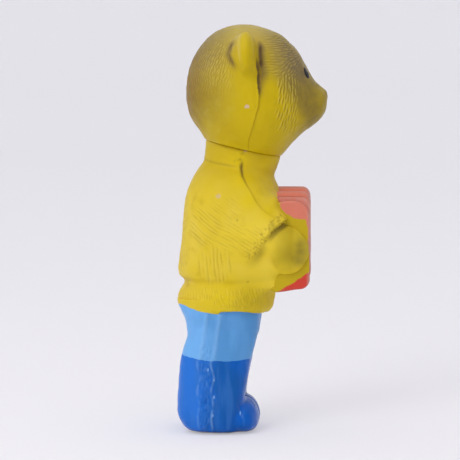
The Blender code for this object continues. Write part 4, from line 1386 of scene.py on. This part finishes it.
def bellowsTree(material, sizes):
    tree = bpy.data.node_groups.new("bellows", "GeometryNodeTree")
    for way in ("INPUT", "OUTPUT"):
        tree.interface.new_socket("Geometry", in_out=way, socket_type="NodeSocketGeometry")
    for name in sizes:
        tree.interface.new_socket(name, in_out="INPUT", socket_type="NodeSocketFloat")
    nodes = Nodes(tree)
    given = nodes.add("NodeGroupInput")

    def made(kind, inputs, **settings):
        return nodes.add("GeometryNode" + kind, inputs, **settings)[0]

    def position():
        return nodes.add("ShaderNodeSeparateXYZ", {0: nodes.add("GeometryNodeInputPosition")[0]})

    left = nodes.add("ShaderNodeCombineXYZ", {0: nodes.times(given["Half Width"], -1.0)})[0]
    right = nodes.add("ShaderNodeCombineXYZ", {0: given["Half Width"]})[0]
    path = made("CurvePrimitiveLine", {"Start": left, "End": right})
    path = made("ResampleCurve", {"Curve": path, "Count": boxForm["pointsAlong"]})
    outline = made("CurvePrimitiveQuadrilateral", {"Width": given["Depth"], "Height": given["Height"]})
    upper = nodes.math("GREATER_THAN", position()["Y"])
    corners = {0: upper, 2: given["Bottom Corner"], 3: given["Top Corner"]}
    radius = nodes.add("ShaderNodeMix", corners, data_type="FLOAT")[0]
    outline = made("FilletCurve", {"Curve": outline, "Radius": radius, "Count": 7}, mode="POLY")
    outline = made("ResampleCurve", {"Curve": outline, "Count": boxForm["pointsRound"]})
    skin = made("CurveToMesh", {"Curve": path, "Profile Curve": outline, "Fill Caps": True})
    # pleats: rounded ridges and narrower valleys, cut inwards along the skin's normal
    share = nodes.math("DIVIDE", position()["X"], given["Half Width"])
    turn = nodes.times(share, nodes.times(given["Pleats"], math.pi / 2))
    wave = nodes.math("ABSOLUTE", nodes.math("SINE", turn))
    ridge = nodes.math("POWER", wave, boxForm["pleatRoundness"])
    valley = nodes.math("SUBTRACT", 1.0, ridge)
    cut = {0: made("InputNormal", {}), "Scale": nodes.times(valley, given["Pleat Depth"], -1.0)}
    inwards = nodes.add("ShaderNodeVectorMath", cut, operation="SCALE")[0]
    skin = made("StoreNamedAttribute", {"Geometry": skin, "Name": "valley", "Value": valley})
    skin = made("SetPosition", {"Geometry": skin, "Offset": inwards})
    # the arch along the top, fading out towards the bottom
    rise = nodes.math("ADD", nodes.math("DIVIDE", position()["Z"], given["Height"]), 0.5)
    share = nodes.math("DIVIDE", position()["X"], given["Half Width"])
    bow = nodes.math("COSINE", nodes.times(share, math.pi / 2.35))
    up = nodes.math("ADD", nodes.times(rise, bow, given["Arch"]), given["Up"])
    move = nodes.add("ShaderNodeCombineXYZ", {1: nodes.times(given["Forward"], -1.0), 2: up})[0]
    skin = made("SetPosition", {"Geometry": skin, "Offset": move})
    skin = made("RealizeInstances", {"Geometry": made("SetShadeSmooth", {"Geometry": skin})})
    nodes.add("NodeGroupOutput", {0: made("SetMaterial", {"Geometry": skin, "Material": material})})
    return tree


def makeBellows(material):
    box = boxForm
    lengths = {
        "Half Width": box["halfWidth"] - box["board"] + 0.2,
        "Depth": box["front"] - box["back"],
        "Height": box["top"] - box["bottom"],
        "Top Corner": box["corners"][0] + 1.0,
        "Bottom Corner": box["corners"][1],
        "Arch": box["arch"],
        "Pleat Depth": box["pleatDepth"],
        "Forward": (box["front"] + box["back"]) / 2,
        "Up": (box["top"] + box["bottom"]) / 2,
    }
    sizes = {name: length / 1000 for name, length in lengths.items()}
    sizes["Pleats"] = float(box["pleats"])
    tree = bellowsTree(material, sizes)
    holder = bpy.data.objects.new("bellows_maker", bpy.data.meshes.new("bellows_maker"))
    bpy.context.scene.collection.objects.link(holder)
    modifier = holder.modifiers.new("bellows", "NODES")
    modifier.node_group = tree
    for item in tree.interface.items_tree:
        if item.in_out == "INPUT" and item.name in sizes:
            modifier[item.identifier] = sizes[item.name]
    mesh = bpy.data.meshes.new_from_object(holder.evaluated_get(bpy.context.evaluated_depsgraph_get()))
    bpy.data.objects.remove(holder)
    valley = takeValues(mesh, "valley")
    # painted shade in the valleys and painted highlights on the tops
    addValues(mesh, "groove", ease(0.45, 0.95, valley))
    addValues(mesh, "ridge", ease(0.3, 0.02, valley))
    addValues(mesh, "zone", valley * 0 - 9)
    return mesh


def makeBoards():
    points, quads, normals = formSurface(boardDistance, *boxForm["boardRoom"], boxForm["step"])
    points = points + normals * (0.08 * waves(points, 8, 71))[:, None]
    x, f, z = points.T
    outer = ease(17.0, 17.5, np.abs(x)) > 0.3
    # the boards' front edges, paled as painted highlights
    edge = peak(boardDistance(np.full(len(x), 16.7), f, z), 1.0) * (f > 10)
    zone = np.where(outer, insideOutline(f, z, boxForm["overspray"]), -9.0)
    return meshFrom("end_boards", points, quads, {"zone": zone, "groove": x * 0, "ridge": 0.6 * edge})


# The squeaker keeps its own shapes and gets better finishes

squeakerPaint = {
    "tin": (0.62, 0.62, 0.60),
    "tinDull": (0.42, 0.41, 0.38),
    "brass": (0.72, 0.53, 0.22),
    "brassDull": (0.50, 0.34, 0.12),
    "plastic": (0.80, 0.79, 0.74),
    "plasticDull": (0.68, 0.66, 0.58),
}

# the metals' grain is stretched the way they were rolled
squeakerFinish = {
    "tin": {
        "cloudy": (300, 4, 0, (0.4, 0.7)),
        "rough": (900, 3, 2, (0.3, 0.7, 0.30, 0.50), (1, 1, 0.1)),
        "grain": (900, 3, 2, (1, 1, 0.1)),
        "bump": (0.00005, 0.4),
        "shader": {"Metallic": 1.0},
    },
    "brass": {
        "cloudy": (300, 4, 0, (0.4, 0.7)),
        "rough": (900, 3, 2, (0.3, 0.7, 0.24, 0.44), (0.1, 1, 1)),
        "grain": (900, 3, 2, (0.1, 1, 1)),
        "bump": (0.00005, 0.4),
        "shader": {"Metallic": 1.0},
    },
    "plastic": {
        "cloudy": (400, 4, 0, (0.4, 0.7)),
        "rough": (900, 3, 2, (0.3, 0.7, 0.4, 0.6)),
        "grain": (1800, 3, 3),
        "bump": (0.00003, 0.4),
        "shader": {},
    },
}


def squeakerMaterial(name):
    finish = squeakerFinish[name]
    paint = Paint("squeaker_" + name, squeakerPaint, name, finish)
    paint.coats((name + "Dull", paint.mottle("cloudy")))
    return paint.finish(paint.mottle("rough"), paint.noise(*finish["grain"]))


# Studio

studio = {
    "azimuth": 273.0,  # the camera's place round the toy, in degrees
    "elevation": 5.5,
    "distance": 0.95,
    "picture": 0.2042,  # metres across the picture at the toy
    "aim": (-10.0, 89.0),  # forward, up
    "world": 0.94,
    "keyPlace": (-0.66, 0.42, 0.62),
    "keyPower": 2.9,
    "keySize": 0.5,
    "floor": (0.88, 0.87, 0.90),
    "floorGlow": (0.94, 0.93, 0.99),
    "floorGlowShare": 0.4,
    # the paper sweeps up all round: out, up, in metres
    "sweep": [(1.9, 0), (2.3, 0.08), (2.6, 0.3), (2.8, 0.7), (2.9, 1.3), (2.9, 3.2)],
    "sweepSides": 64,
}


def stand(name, data):
    thing = bpy.data.objects.new(name, data)
    bpy.context.scene.collection.objects.link(thing)
    return thing


def makeStudio():
    scene = bpy.context.scene
    target = Vector((0, -studio["aim"][0] / 1000, studio["aim"][1] / 1000))
    a, e = math.radians(studio["azimuth"]), math.radians(studio["elevation"])
    back = Vector((math.sin(a) * math.cos(e), -math.cos(a) * math.cos(e), math.sin(e)))
    camera = stand("camera", bpy.data.cameras.new("camera"))
    camera.location = target + back * studio["distance"]
    camera.rotation_euler = back.to_track_quat("Z", "Y").to_euler()
    camera.data.sensor_width = 36
    camera.data.lens = camera.data.sensor_width * studio["distance"] / studio["picture"]
    scene.camera = camera
    world = bpy.data.worlds.new("studio")
    world.use_nodes = True
    background = world.node_tree.nodes["Background"]
    background.inputs["Color"].default_value = (1, 1, 1, 1)
    background.inputs["Strength"].default_value = studio["world"]
    scene.world = world
    key = bpy.data.lights.new("key", "AREA")
    key.energy = studio["keyPower"]
    key.shape = "DISK"
    key.size = studio["keySize"]
    lamp = stand("key", key)
    lamp.location = studio["keyPlace"]
    lamp.rotation_euler = (lamp.location - target).to_track_quat("Z", "Y").to_euler()
    makeFloor()
    scene.view_settings.view_transform = "Standard"


def floorPaper():
    paint = Paint("floor", studio, "floor")
    looks = {"Base Color": (*studio["floor"], 1), "Roughness": 0.85, "Specular IOR Level": 0.2}
    for name, value in looks.items():
        paint.shader.inputs[name].default_value = value
    # seen directly it glows a little, so that it looks as pale as studio paper and keeps the shadow
    glow = paint.add("ShaderNodeEmission", {"Color": studio["floorGlow"]})[0]
    rays = paint.add("ShaderNodeLightPath")
    seen = paint.math("MAXIMUM", rays["Is Glossy Ray"], rays["Is Transmission Ray"])
    share = paint.times(paint.math("MAXIMUM", rays["Is Camera Ray"], seen), studio["floorGlowShare"])
    mixed = paint.add("ShaderNodeMixShader", {0: share, 1: paint.shader.outputs[0], 2: glow})[0]
    paint.tree.links.new(mixed, paint.tree.nodes["Material Output"].inputs["Surface"])
    return paint.material


def makeFloor():
    bm = bmesh.new()
    sides = studio["sweepSides"]
    ways = [(math.cos(2 * math.pi * i / sides), math.sin(2 * math.pi * i / sides)) for i in range(sides)]
    rings = [[bm.verts.new((out * a, out * b, up)) for a, b in ways] for out, up in studio["sweep"]]
    bm.faces.new(rings[0])
    for lower, upper in zip(rings, rings[1:]):
        for i in range(sides):
            j = (i + 1) % sides
            bm.faces.new((lower[i], lower[j], upper[j], upper[i]))
    bmesh.ops.recalc_face_normals(bm, faces=bm.faces)
    mesh = bpy.data.meshes.new("floor")
    bm.to_mesh(mesh)
    bm.free()
    mesh.shade_smooth()
    mesh.materials.append(floorPaper())
    stand("floor", mesh)


makeStudio()
for part, make, skin, form, seam in (
    ("head", makeHead, headVinyl(), headForm, headSeam),
    ("body", makeBody, bodyVinyl(), bodyForm, bodySeam),
):
    whole = make()
    for side in ("front", "back"):
        half = halfOf(whole, side == "front", seam)
        liftSeam(half, seam, form["seamRise"], form["seamFade"], side == "front")
        addPiece(f"{part}_{side}", half, part, skin, [f"{part}_{side}_shell"])
    print(part, "made")
boxSkin = boxPaintwork()
addPiece("bellows", makeBellows(boxSkin), "body", boxSkin, ["squeezebox"])
addPiece("end_boards", makeBoards(), "body", boxSkin, ["squeezebox"])
print("squeezebox made")

tin, brass, plastic = (squeakerMaterial(name) for name in squeakerFinish)
for node, material in (
    ("squeaker_cup", tin), ("squeaker_cap", tin), ("squeaker_reed", brass),
    ("squeaker_reed_plate", plastic), ("squeaker_reed_clamp", plastic),
):
    for slot in bpy.data.objects[node].material_slots:
        slot.material = material
for obj in bpy.data.objects:
    if obj.type == "MESH" and obj.users_collection:
        print(obj.name, len(obj.data.polygons), "faces")
